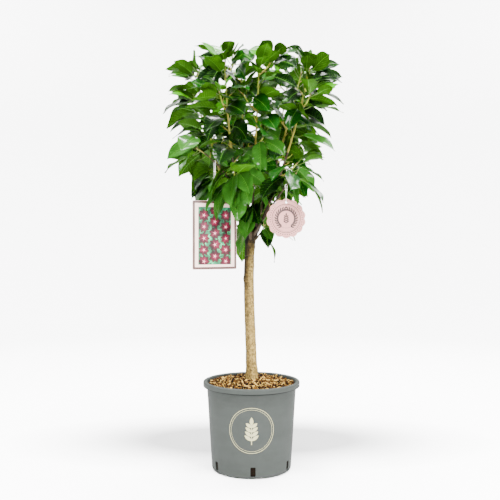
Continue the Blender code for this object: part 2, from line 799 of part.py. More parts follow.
class Mass:
    """The twigs and leaves of one mass, grown by a seeded rule from its stem."""

    def __init__(self, name, limb, space, guard, nets):
        self.name = name
        self.limb = limb
        self.space = space
        self.guard = guard
        self.nets = nets
        self.dice = random.Random(limb.seed)
        self.twigs = []
        self.wood = []
        self.leaves = []
        points, radii = stem_line(limb)
        self.add_wood(points, radii)
        self.dress(points, 1.0)

    def add_wood(self, points, radii):
        """Keeps a twig, with a flat ribbon each way along it that stands for it in the tests."""
        self.twigs.append((points, radii))
        corners, faces = [], []
        for point, radius in zip(points, radii):
            for way in (Vector((radius, 0.0, 0.0)), Vector((0.0, radius, 0.0))):
                corners += [point + way, point - way]
        for k in range(len(points) - 1):
            for a, b in ((0, 1), (2, 3)):
                faces.append((4 * k + a, 4 * k + b, 4 * k + 4 + b, 4 * k + 4 + a))
        self.wood.append(BVHTree.FromPolygons(corners, faces))

    def dress(self, points, size):
        """Leaves spiral up a twig, in threes on spurs below and singly above, and end in a rosette."""
        limb = self.limb
        strong = limb.vigour == 1.0 and size == 1.0
        length = length_of(points)
        nodes = max(2, round(length / LEAF_SPACING))
        turn = self.dice.uniform(0.0, math.tau)
        for k in range(nodes):
            youth = limb.youth * k / nodes
            where, along = walk(points, length * (k + NODE_SHARE) / nodes)
            turn += GOLDEN_TURN
            if strong and k % TWIG_EVERY == 1:
                self.add_twig(where, along, turn + math.pi)
            spur = SPUR_LEAVES if strong and youth < SPUR_YOUTH else 1
            for j in range(spur):
                shift = j - 0.5 * (spur - 1)
                root = where + along * SPUR_STEP * shift
                self.add_leaf(root, along, turn + SPUR_TURN * shift, youth, size)
        tip, along = walk(points, length)
        for k in range(TUFT):
            turn += GOLDEN_TURN
            self.add_leaf(tip - along * TUFT_STEP * (k + 1), along, turn, limb.youth, size)

    def add_twig(self, root, along, turn):
        """A side twig that leaves the stem and turns up, with leaves of its own."""
        half = 0.5 * self.dice.uniform(*TWIG_LENGTHS)
        out = (side_ways(along, turn) + along * TWIG_ONWARD).normalized()
        upward = (out + UP * TWIG_UPWARD).normalized()
        points = [root, root + out * half, root + out * half + upward * half]
        if not all(self.space.holds(point) for point in points):
            return
        self.add_wood(points, TWIG_RADII)
        self.dress(points, TWIG_LEAF_SIZE)

    def add_leaf(self, root, along, turn, youth, size):
        """Adds a leaf, turned about its twig if need be, or skips it where there is no room.

        A blade rolls its face outward from the tree by the whole tilt, and dips by only a share of it.
        """
        dice = self.dice
        size *= self.limb.size
        stalk = STALK_LENGTH * size * dice.uniform(*STALK_RANGE)
        blade = BLADE_LENGTH * size * lerp(1.0, YOUNG_SHARE, youth**3) * dice.uniform(*BLADE_RANGE)
        width = blade * BLADE_SHARE_WIDE * dice.uniform(*WIDTH_RANGE)
        rise = lerp(RISE_OLD, RISE_YOUNG, youth) + dice.gauss(0.0, RISE_SPREAD)
        droop = math.radians(dice.uniform(*DROOP_RANGE))
        tilt = lerp(TILT_OLD, TILT_YOUNG, youth)
        roll = math.radians(dice.choice((-1.0, 1.0)) * dice.uniform(*ROLL_RANGE))
        outward = Vector((root.x, root.y, 0.0)).normalized()
        facing = math.atan2(outward.y, outward.x)
        for shift in LEAF_TRIES:
            out = side_ways(along, turn + shift)
            out += along * lerp(*STALK_ONWARD, youth) + outward * STALK_OUTWARD
            heading = math.atan2(out.y, out.x)
            lift = math.asin(max(STALK_LIFTS[0], min(STALK_LIFTS[1], out.z / out.length)))
            blade_rise = rise - TILT_LEAN * tilt * math.cos(facing - heading)
            blade_roll = roll - tilt * math.sin(facing - heading)
            leaf = Leaf(root.copy(), heading, lift, blade_rise, droop, blade_roll, stalk, blade, width)
            if self.fits(leaf):
                self.leaves.append(leaf)
                self.nets.append(leaf_nets(leaf)[1])
                return

    def fits(self, leaf):
        sections, tip = leaf_sections(leaf)
        corners = [corner for section in sections for corner in section] + [tip]
        if not all(self.space.holds(corner) for corner in corners):
            return False
        blade, whole = leaf_nets(leaf)
        if whole.overlap(self.guard) or any(blade.overlap(wood) for wood in self.wood):
            return False
        return not any(whole.overlap(other) for other in self.nets)


def grow_crown():
    """All the masses, each of which keeps clear of the leaves that are there before it."""
    guard = guard_tree()
    nets = []
    return [Mass(name, limb, Space(name), guard, nets) for name, limb in LIMBS.items()]


def twig_tube(name, twig, collection, triangle):
    """A three-sided twig, whose corners stand out as far as makes it as stout as the real round one."""
    points, radii = twig
    return tube(name, points, [radius * STEM_CORNER_REACH for radius in radii], collection, triangle)


def make_foliage(model, cutters):
    """One solid for each mass: its stem, twigs and leaves joined by one union."""
    triangle = ring_outline("twig_section", 3, cutters)
    green = principled("cherry leaf", (0.07, 0.19, 0.02), 0.4)
    made = []
    for mass in grow_crown():
        pieces = new_collection(f"{mass.name}_pieces")
        stem = as_mesh(twig_tube(f"foliage_{mass.name}", mass.twigs[0], model, triangle), model)
        for k, twig in enumerate(mass.twigs[1:]):
            as_mesh(twig_tube(f"{mass.name}_twig_{k}", twig, pieces, triangle), pieces)
        for k, leaf in enumerate(mass.leaves):
            leaf_mesh(f"{mass.name}_leaf_{k}", leaf, pieces)
        made.append(finish(boolean(stem, "UNION", pieces), green, smooth=False))
        for obj in list(pieces.objects):
            bpy.data.objects.remove(obj)
        bpy.data.collections.remove(pieces)
    return made


def main():
    clear_scene()
    model = new_collection("potted cherry tree")
    cutters = new_collection("cutters", shown=False)
    make_pot(model, cutters)
    make_soil(model)
    make_bark(model)
    make_trunk(model)
    make_boughs(model, cutters)
    make_hangers(model)
    make_foliage(model, cutters)


main()
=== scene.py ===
"""Looks of a potted dwarf cherry tree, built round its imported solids.

The crown grows by the rule of the solids' source, from the same limbs and seeds, and is carried on to
finer spurs, buds and small leaves. Units are metres, +Z is up and the picture card faces -Y.
"""

import math
import random
from dataclasses import dataclass

import bmesh
import bpy
from mathutils import Matrix, Vector, noise
from mathutils.bvhtree import BVHTree
from mathutils.kdtree import KDTree


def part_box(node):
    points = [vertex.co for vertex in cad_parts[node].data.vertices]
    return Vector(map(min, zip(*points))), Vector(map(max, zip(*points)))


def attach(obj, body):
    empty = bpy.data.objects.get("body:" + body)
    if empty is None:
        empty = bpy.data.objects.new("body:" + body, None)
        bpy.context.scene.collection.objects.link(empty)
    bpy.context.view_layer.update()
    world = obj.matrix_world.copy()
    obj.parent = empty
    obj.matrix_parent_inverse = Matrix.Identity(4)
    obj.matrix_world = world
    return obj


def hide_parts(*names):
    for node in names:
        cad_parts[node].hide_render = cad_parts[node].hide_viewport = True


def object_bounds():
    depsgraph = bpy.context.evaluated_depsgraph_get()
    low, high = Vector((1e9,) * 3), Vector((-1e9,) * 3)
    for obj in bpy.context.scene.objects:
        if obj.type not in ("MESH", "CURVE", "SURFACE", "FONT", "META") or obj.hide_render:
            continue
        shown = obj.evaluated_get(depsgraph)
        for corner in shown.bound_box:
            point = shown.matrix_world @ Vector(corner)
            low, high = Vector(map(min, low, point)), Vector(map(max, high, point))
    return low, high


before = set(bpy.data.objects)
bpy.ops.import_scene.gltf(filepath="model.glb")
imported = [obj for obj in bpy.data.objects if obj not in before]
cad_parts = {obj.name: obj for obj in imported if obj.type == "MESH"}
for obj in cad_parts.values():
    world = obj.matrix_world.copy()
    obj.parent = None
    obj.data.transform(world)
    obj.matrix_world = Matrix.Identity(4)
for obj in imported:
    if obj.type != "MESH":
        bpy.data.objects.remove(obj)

CAD_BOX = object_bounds()

bl_info = {
    "name": "Potted Cherry Tree",
    "version": (1, 0, 0),
    "blender": (4, 5, 0),
    "location": "View3D > Sidebar > Cherry Tree",
    "description": "Makes a dwarf cherry tree on a clear stem in a round nursery pot",
    "category": "Add Mesh",
}

UP = Vector((0.0, 0.0, 1.0))
GAP = 0.0003

# Pot, soil and bark bed, read from the frame where it gives them
POT_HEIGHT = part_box("pot")[1].z
RIM_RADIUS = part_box("pot")[1].x
SOIL_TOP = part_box("soil")[1].z
BARK_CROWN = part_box("bark_chips")[1].z
RIM_DEPTH = 0.0125
RIM_ROUND = 0.0035
SHOULDER_RADIUS = 0.1108
FOOT_RADIUS = 0.0985
FOOT_ROUND = 0.006
WALL = 0.002
FLOOR = 0.003
POT_SEGMENTS = 192
SLOT_COUNT = 6
SLOT_WIDTH = 0.012
SLOT_BOTTOM = 0.006
SLOT_TOP = 0.029
SLOT_HEADING = -88.0
SLOT_DEPTH = 0.020
BARK_EDGE = 0.2065
BARK_FLAT_RADIUS = 0.030

# Trunk
TRUNK_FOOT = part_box("trunk")[0].z
TRUNK_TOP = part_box("trunk")[1].z
TRUNK_BOW = 0.0064
BOW_LATE = 1.4
TRUNK_SWAY = 0.0015
FOOT_FLARE = 0.0022
FLARE_FADE = 0.022
STEM_RADIUS_LOW = 0.0138
STEM_RADIUS_HIGH = 0.0120
HEAD_HEIGHT = 0.583
HEAD_SWELL = 0.0042
HEAD_SPREAD = 0.017
HEAD_CLOSING = 0.35

# Boughs, stems and side twigs
COURSE_STEPS = 240
LIMB_TAPER = 0.8
BOUGH_STEP = 0.022
STEM_TIP_RADIUS = 0.0014
STEM_STEP = 0.024
TWIG_EVERY = 4
TWIG_LENGTHS = (0.045, 0.070)
TWIG_RADII = (0.0020, 0.0017, STEM_TIP_RADIUS)
TWIG_ONWARD = 0.8
TWIG_UPWARD = 0.45
TWIG_LEAF_SIZE = 0.93

# Leaves, as the source places them
GOLDEN_TURN = math.radians(137.5)
BLADE_LENGTH = 0.083
BLADE_SHARE_WIDE = 0.60
STALK_LENGTH = 0.024
STALK_RADIUS = 0.0011
STALK_ROOT_SHARE = 0.6
STALK_FREE_SHARE = 0.3
STALK_RANGE = (0.8, 1.25)
STALK_KEEL = 1.6
KEEL_SHARE = 0.02
BLADE_RANGE = (0.88, 1.12)
WIDTH_RANGE = (0.9, 1.1)
OUTLINE = ((0.36, 1.0), (0.72, 0.76))
YOUNG_SHARE = 0.68
LEAF_SPACING = 0.0208
LEAF_TRIES = (0.0, 0.5, -0.5, 1.0, -1.0, 1.6, -1.6, 2.4, -2.4)
RISE_OLD = math.radians(-34.0)
RISE_YOUNG = math.radians(42.0)
TILT_OLD = math.radians(42.0)
TILT_YOUNG = math.radians(36.0)
TILT_LEAN = 0.4
RISE_SPREAD = math.radians(8.0)
DROOP_RANGE = (20.0, 45.0)
ROLL_RANGE = (12.0, 48.0)
STALK_ONWARD = (-0.1, 1.1)
STALK_OUTWARD = 0.35
STALK_LIFTS = (-0.5, 0.85)
SPUR_LEAVES = 3
SPUR_YOUTH = 0.45
SPUR_STEP = 0.0026
SPUR_TURN = 0.85
NODE_SHARE = 0.35
TUFT = 5
TUFT_STEP = 0.0022
SPACE_MARGIN = 0.0012
SPACE_STEP = 0.006
LIMB_MARGIN = 0.0012

# Finer growth, which only this file adds
FINE_SPACING = 0.019
FINE_REACH = (0.006, 0.024)
FINE_RADIUS = 0.0012
FINE_SIZE = 0.80
FINE_PLACE = 0.8
FINE_SEED = 400
BOUGH_BARE_SHARE = 0.30
FINE_BOUGH = 0.070
FINE_LOWEST = 0.600
FINE_HIGHEST = 1.025
FINE_CONE_HEIGHT = 0.680
FINE_CONE_RADIUS = 0.103
FINE_CONE_SLOPE = 0.53
SIGHT_MARGIN = 0.008
BUD_LENGTH = 0.0052
BUD_RADIUS = 0.0015

# A blade's own form: rows and columns of its mesh, teeth, veins and thickness
BLADE_ROWS = 32
BLADE_HALF_COLUMNS = 4
BLADE_WIDEST = 0.44
BLADE_SLIM = 0.93
VEIN_PAIRS = 8
VEIN_START = 0.08
VEIN_END = 0.80
VEIN_SWEEP = 0.15
VEIN_REACH = 0.90
VEIN_STEPS = 4
BLADE_THICKNESS = 0.0004
RIB_HEIGHT = 0.00008

# Hang tags
CARD_WIDTH = 0.116
CARD_HEIGHT = 0.165
CARD_THICKNESS = 0.0012
CARD_CORNER = 0.003
CARD_HOLE_DROP = 0.0095
TAG_RADIUS = 0.0465
TAG_SCALLOP = 0.0034
TAG_SCALLOPS = 14
TAG_THICKNESS = 0.0016
TAG_HOLE_DROP = 0.0085
HOLE_RADIUS = 0.0028
PRINT_HEIGHT = 0.00012
STRING_RADIUS = 0.0008
STRING_SLACK = 0.0006
STRING_TURN = 6
STRING_DROPS = (0.35, 0.75)


@dataclass(frozen=True)
class Limb:
    """One bough and the stem of the mass on it, as the source gives them."""

    heading: float
    lean_root: float
    lean_tip: float
    bare: float
    leafy: float
    root_height: float
    radius: float
    seed: int
    bend: float = 0.55
    vigour: float = 1.0
    youth: float = 1.0
    size: float = 1.0
    claim: float = 0.0


LOW = {"vigour": 0.5, "youth": 0.3, "claim": 0.035}
LIMBS = {
    "left": Limb(186, 40, 9, 0.106, 0.198, 0.580, 0.0042, 646, bend=0.63),
    "front_left": Limb(246, 49, 4, 0.133, 0.303, 0.566, 0.0041, 425, bend=0.53),
    "front": Limb(278, 26, 18, 0.108, 0.292, 0.580, 0.0040, 392, bend=0.3),
    "front_right": Limb(332, 47, 14, 0.145, 0.290, 0.566, 0.0042, 933, bend=0.3),
    "right": Limb(-5, 28, 14, 0.160, 0.255, 0.580, 0.0041, 898, bend=0.34),
    "back_right": Limb(51, 42, 14, 0.146, 0.328, 0.566, 0.0040, 580, bend=0.3),
    "back": Limb(117, 38, 14, 0.079, 0.309, 0.580, 0.0040, 652, bend=0.46),
    "back_left": Limb(161, 42, 10, 0.131, 0.316, 0.566, 0.0041, 18, bend=0.38),
    "centre": Limb(109, 21, 8, 0.160, 0.200, 0.590, 0.0040, 272, bend=0.53),
    "card": Limb(213, 16, 68, 0.227, 0.036, 0.577, 0.0034, 485, bend=1.5, vigour=0.5, youth=0.4),
    "tag": Limb(311, 40, 52, 0.190, 0.032, 0.562, 0.0034, 923, bend=1.0, vigour=0.5, youth=0.4),
    "low_front": Limb(274, 45, 4, 0.053, 0.050, 0.553, 0.0034, 356, bend=0.76, **LOW),
    "low_right": Limb(329, 73, 31, 0.030, 0.032, 0.556, 0.0028, 571, 0.43, 0.5, 0.5, 0.75, 0.01),
    "low_back_right": Limb(33, 47, 11, 0.059, 0.140, 0.553, 0.0034, 447, bend=0.45, **LOW),
    "low_back": Limb(63, 62, 7, 0.057, 0.091, 0.553, 0.0034, 229, bend=0.46, **LOW),
    "low_back_left": Limb(95, 68, 10, 0.045, 0.030, 0.553, 0.0034, 605, bend=0.79, **LOW),
    "low_left": Limb(151, 48, 30, 0.046, 0.046, 0.553, 0.0034, 267, bend=0.5, **LOW),
}
FOLIAGE_NODES = [f"foliage_{name}" for name in LIMBS]
BOUGH_NODES = [f"bough_{name}" for name in LIMBS]


@dataclass(frozen=True)
class Hanger:
    """What hangs from a limb: where along the limb, how far below it, and the compass of its face."""

    limb: str
    along: float
    drop: float
    facing: float


HANGERS = {
    "card": Hanger("card", 0.207, 0.103, 297.0),
    "tag": Hanger("tag", 0.182, 0.038, 274.0),
}


@dataclass(frozen=True)
class Leaf:
    """Where a leaf's stalk is rooted, how it points, its size, and how young it is."""

    root: Vector
    heading: float
    stalk_rise: float
    blade_rise: float
    droop: float
    roll: float
    stalk: float
    blade: float
    width: float
    youth: float


def lerp(low, high, share):
    return low + (high - low) * share


def pointing(heading, rise):
    """The unit vector with this compass heading and this angle above the horizon."""
    flat = math.cos(rise)
    return Vector((math.cos(heading) * flat, math.sin(heading) * flat, math.sin(rise)))


def arc(centre, radius, start, end, steps):
    """Points on an arc in the plane of a profile. Angles are in degrees, 0 outwards and 90 up."""
    turns = (math.radians(lerp(start, end, k / steps)) for k in range(steps + 1))
    return [(centre[0] + radius * math.cos(a), centre[1] + radius * math.sin(a)) for a in turns]


def smooth_line(points, step, closed=False):
    """Points about one step apart on a smooth curve through these points."""
    count = len(points)
    spans = count if closed else count - 1
    out = []
    for k in range(spans):
        if closed:
            a, b, c, d = (points[(k + j) % count] for j in (-1, 0, 1, 2))
        else:
            a, b, c, d = (points[min(max(k + j, 0), count - 1)] for j in (-1, 0, 1, 2))
        pieces = max(1, round((c - b).length / step))
        for j in range(pieces):
            t = j / pieces
            curve = (2.0 * b) + (c - a) * t + (2.0 * a - 5.0 * b + 4.0 * c - d) * t * t
            curve += (3.0 * b - a - 3.0 * c + d) * t**3
            out.append(curve * 0.5)
    return out if closed else out + [points[-1].copy()]


class Heap:
    """Points and faces of many small shapes, gathered into one mesh."""

    def __init__(self):
        self.points = []
        self.faces = []

    def add(self, points, faces):
        start = len(self.points)
        self.points += points
        self.faces += [tuple(start + k for k in face) for face in faces]

    def piece(self, name, material, smooth=True):
        mesh = bpy.data.meshes.new(name)
        mesh.from_pydata(self.points, [], self.faces)
        mesh.update()
        if smooth:
            mesh.shade_smooth()
        return new_piece(name, mesh, material)


def new_piece(name, data, material):
    """A piece on the plant's one body, with its finish."""
    obj = bpy.data.objects.new(name, data)
    bpy.context.scene.collection.objects.link(obj)
    data.materials.clear()
    data.materials.append(material)
    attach(obj, "root")
    return obj


def sweep(points, radii, sides, closed=False, shape=None):
    """Rings round a line and the faces between them. shape gives a ring corner's own extra radius."""
    count = len(points)
    frames = []
    side = None
    for k in range(count):
        before = points[k - 1] if k or closed else points[0]
        after = points[(k + 1) % count] if k < count - 1 or closed else points[-1]
        along = (after - before).normalized()
        if side is None:
            side = along.cross(Vector((0.31, 0.84, 0.45))).normalized()
        side = (side - along * side.dot(along)).normalized()
        frames.append((side, along.cross(side)))
    corners = []
    for k, (point, radius) in enumerate(zip(points, radii)):
        for j in range(sides):
            turn = math.tau * j / sides
            reach = radius + (shape(k, turn, point) if shape else 0.0)
            corners.append(point + (frames[k][0] * math.cos(turn) + frames[k][1] * math.sin(turn)) * reach)
    faces = []
    for k in range(count if closed else count - 1):
        near, far = k * sides, ((k + 1) % count) * sides
        for j in range(sides):
            n = (j + 1) % sides
            faces.append((near + j, near + n, far + n, far + j))
    if not closed:
        faces.append(tuple(range(sides))[::-1])
        faces.append(tuple(range((count - 1) * sides, count * sides)))
    return corners, faces


def trunk_centre(height):
    """The trunk stands upright in its flare, then bows a little to the left on the way to its head."""
    upright = TRUNK_FOOT + FLARE_FADE
    share = max(0.0, height - upright) / (TRUNK_TOP - upright)
    bow = TRUNK_BOW * math.sin(math.pi * share**BOW_LATE)
    return Vector((-bow, TRUNK_SWAY * math.sin(math.tau * share), height))


def trunk_radius(height):
    """Flared at the foot, nearly even along the stem, swollen at the head and rounded off above it."""
    share = (height - TRUNK_FOOT) / (TRUNK_TOP - TRUNK_FOOT)
    flare = FOOT_FLARE * math.exp(-(height - TRUNK_FOOT) / FLARE_FADE)
    swell = HEAD_SWELL * math.exp(-(((height - HEAD_HEIGHT) / HEAD_SPREAD) ** 2))
    closing = 1.0 - HEAD_CLOSING * max(0.0, (height - HEAD_HEIGHT) / (TRUNK_TOP - HEAD_HEIGHT)) ** 2
    return (lerp(STEM_RADIUS_LOW, STEM_RADIUS_HIGH, share) + flare + swell) * closing


def course(limb, start, length, step):
    """Points from start to length along a limb's centre line, at most step apart."""
    whole = limb.bare + limb.leafy
    where = trunk_centre(limb.root_height)
    walked = [where.copy()]
    for k in range(COURSE_STEPS):
        share = (k + 0.5) / COURSE_STEPS
        lean = math.radians(lerp(limb.lean_root, limb.lean_tip, share**limb.bend))
        where = where + pointing(math.radians(limb.heading), math.pi / 2 - lean) * (whole / COURSE_STEPS)
        walked.append(where.copy())
    count = max(2, math.ceil(length / step))
    points = []
    for k in range(count + 1):
        at = (start + length * k / count) / whole * COURSE_STEPS
        low = min(int(at), COURSE_STEPS - 1)
        points.append(walked[low].lerp(walked[low + 1], at - low))
    return points


def limb_radius(limb, along):
    """The limb tapers evenly from its root to the tip of its mass's stem."""
    return lerp(limb.radius, STEM_TIP_RADIUS, (along / (limb.bare + limb.leafy)) ** LIMB_TAPER)


def limb_line(limb, start, length, step):
    points = course(limb, start, length, step)
    radii = [limb_radius(limb, start + length * k / (len(points) - 1)) for k in range(len(points))]
    return points, radii


def hanger_place(hanger):
    """The limb's centre under the string, and the middle of the hole."""
    over = course(LIMBS[hanger.limb], hanger.along, 0.001, 0.001)[0]
    return over, over - UP * hanger.drop


def string_loop(hanger):
    """A closed loop of string over a limb and down through a tag's hole, twisted in between."""
    limb = LIMBS[hanger.limb]
    over, hole = hanger_place(hanger)
    facing = pointing(math.radians(hanger.facing), 0.0)
    square = pointing(math.radians(limb.heading + 90.0), 0.0)
    square = square if square.dot(facing) > 0.0 else -square
    before, _, after = course(limb, hanger.along - 0.001, 0.002, 0.001)
    slope = (after - before).normalized()
    wide = limb_radius(limb, hanger.along) + STRING_RADIUS + STRING_SLACK
    tall = wide / math.hypot(slope.x, slope.y)
    narrow = 0.5 * CARD_THICKNESS + STRING_RADIUS + STRING_SLACK
    low = hole + UP * (HOLE_RADIUS - STRING_RADIUS - GAP)
    points = []
    for k in range(STRING_TURN + 1):
        turn = math.pi * k / STRING_TURN
        points.append(over + square * (wide * math.cos(turn)) + UP * (tall * math.sin(turn)))
    for share in STRING_DROPS:
        points.append(over.lerp(low, share) - square.slerp(facing, share) * lerp(wide, narrow, share))
    for k in range(STRING_TURN + 1):
        turn = math.pi * (1.0 + k / STRING_TURN)
        points.append(low + UP * (narrow * (1.0 + math.sin(turn))) + facing * (narrow * math.cos(turn)))
    for share in reversed(STRING_DROPS):
        points.append(over.lerp(low, share) + square.slerp(facing, share) * lerp(wide, narrow, share))
    return points


def blade_point(leaf, share):
    """A point on the blade's midline, and its angle above the horizon there."""
    end = leaf.root + pointing(leaf.heading, leaf.stalk_rise) * leaf.stalk
    rise = leaf.blade_rise - leaf.droop * share
    level = (math.sin(leaf.blade_rise) - math.sin(rise)) / leaf.droop
    lift = (math.cos(rise) - math.cos(leaf.blade_rise)) / leaf.droop
    flat = pointing(leaf.heading, 0.0)
    return end + flat * (leaf.blade * level) + UP * (leaf.blade * lift), rise


def leaf_frame(leaf, rise):
    """The side and the upper face's normal of a leaf where it has this rise."""
    side = Vector((-math.sin(leaf.heading), math.cos(leaf.heading), 0.0))
    normal = pointing(leaf.heading, rise).cross(side)
    tilted = side * math.cos(leaf.roll) + normal * math.sin(leaf.roll)
    return tilted, normal * math.cos(leaf.roll) - side * math.sin(leaf.roll)


def corners_at(leaf, centre, rise, half, depth):
    """The left edge, right edge and keel of a leaf's section round a point of its midline."""
    side, normal = leaf_frame(leaf, rise)
    return centre + side * half, centre - side * half, centre - normal * depth


def leaf_sections(leaf):
    """Sections at the stalk's root, the stalk's end and the blade's two widest places, and the tip."""
    slim = STALK_RADIUS * STALK_ROOT_SHARE
    sections = [corners_at(leaf, leaf.root, leaf.stalk_rise, slim, slim)]
    stalk_end = blade_point(leaf, 0.0)[0]
    sections.append(corners_at(leaf, stalk_end, leaf.stalk_rise, STALK_RADIUS, STALK_KEEL * STALK_RADIUS))
    for share, spread in OUTLINE:
        centre, rise = blade_point(leaf, share)
        sections.append(corners_at(leaf, centre, rise, 0.5 * leaf.width * spread, KEEL_SHARE * leaf.blade))
    return sections, blade_point(leaf, 1.0)[0]


def leaf_nets(leaf):
    """Triangles for testing what a leaf would touch: its blade alone, and its blade and free stalk."""
    sections, tip = leaf_sections(leaf)
    stalk_end, (left, right, keel), (far_left, far_right, _) = sections[1:]
    stalk_start = leaf.root.lerp(stalk_end[0], STALK_FREE_SHARE)
    points = [stalk_end[2], left, right, far_left, far_right, tip, keel, stalk_start, *stalk_end[:2]]
    above = [(0, 1, 2), (1, 3, 2), (2, 3, 4), (3, 5, 4)]
    below = [(0, 1, 6), (0, 6, 2), (1, 3, 6), (2, 6, 4), (3, 5, 6), (4, 6, 5)]
    blade = BVHTree.FromPolygons(points, above + below)
    return blade, BVHTree.FromPolygons(points, above + below + [(7, 8, 9)])


# Half of each tag's width, and its top and low edge as seen from its hole
TAG_SIZES = {
    "card": (0.5 * CARD_WIDTH, CARD_HOLE_DROP, CARD_HOLE_DROP - CARD_HEIGHT),
    "tag": (TAG_RADIUS, TAG_HOLE_DROP, TAG_HOLE_DROP - 2 * TAG_RADIUS),
}


def guard_tree():
    """Everything that no leaf may touch, each a margin larger than life: limbs, strings and tags."""
    guard = Heap()
    count = 24
    heights = [lerp(TRUNK_FOOT, TRUNK_TOP, k / count) for k in range(count + 1)]
    centres = [trunk_centre(height) for height in heights]
    guard.add(*sweep(centres, [trunk_radius(height) + LIMB_MARGIN for height in heights], 12))
    for limb in LIMBS.values():
        points, radii = limb_line(limb, 0.0, limb.bare, BOUGH_STEP)
        guard.add(*sweep(points, [radius + LIMB_MARGIN for radius in radii], 8))
    for hanger in HANGERS.values():
        path = string_loop(hanger)
        guard.add(*sweep(path, [STRING_RADIUS + LIMB_MARGIN] * len(path), 8, closed=True))
    margin = 2 * LIMB_MARGIN
    for name, hanger in HANGERS.items():
        half, top, low = TAG_SIZES[name]
        hole = hanger_place(hanger)[1]
        across = pointing(math.radians(hanger.facing), 0.0)
        along = Vector((-across.y, across.x, 0.0)) * (half + margin)
        high, deep = UP * (top + margin), UP * (low - margin)
        corners = []
        for depth in (-margin, margin):
            face = hole + across * depth
            corners += [face - along + high, face + along + high, face + along + deep, face - along + deep]
        sides = [(0, 1, 2, 3), (4, 5, 6, 7)] + [(k, (k + 1) % 4, 4 + (k + 1) % 4, 4 + k) for k in range(4)]
        guard.add(corners, sides)
    return BVHTree.FromPolygons(guard.points, guard.faces)


def tree_of(names):
    """A search tree of the points that these masses' spaces follow."""
    points = []
    for name in names:
        limb = LIMBS[name]
        points += course(limb, limb.bare - limb.claim, limb.claim + limb.leafy, SPACE_STEP)
    tree = KDTree(len(points))
    for k, point in enumerate(points):
        tree.insert(point, k)
    tree.balance()
    return tree


def outgrows(point):
    """Whether a point of a small leaf would widen the crown, which narrows downward, or top it."""
    reach = FINE_CONE_RADIUS + FINE_CONE_SLOPE * max(0.0, point.z - FINE_CONE_HEIGHT)
    return not FINE_LOWEST < point.z < FINE_HIGHEST or math.hypot(point.x, point.y) > reach


def hides_print(point):
    """Whether a point hangs in front of a tag, where a leaf would hide the print."""
    for name, hanger in HANGERS.items():
        away = point - hanger_place(hanger)[1]
        half, top, low = TAG_SIZES[name]
        if away.y < 0.0 and abs(away.x) < half + SIGHT_MARGIN and low < away.z < top + SIGHT_MARGIN:
            return True
    return False


class Space:
    """The part of the crown that lies nearer one mass's stem than any other's."""

    def __init__(self, name):
        self.own = tree_of([name])
        self.others = tree_of([other for other in LIMBS if other != name])

    def holds(self, point):
        return self.own.find(point)[2] + SPACE_MARGIN < self.others.find(point)[2]


def walk(points, along):
    """The place and direction at a distance along a line of points."""
    for low, high in zip(points, points[1:]):
        length = (high - low).length
        if along <= length:
            return low.lerp(high, along / length), (high - low) / length
        along -= length
    return points[-1].copy(), (points[-1] - points[-2]).normalized()


def length_of(points):
    return sum((high - low).length for low, high in zip(points, points[1:]))


def side_ways(along, turn):
    """The direction square to a twig, turned round it."""
    level = along.cross(UP).normalized()
    other = level.cross(along)
    return level * math.cos(turn) + other * math.sin(turn)


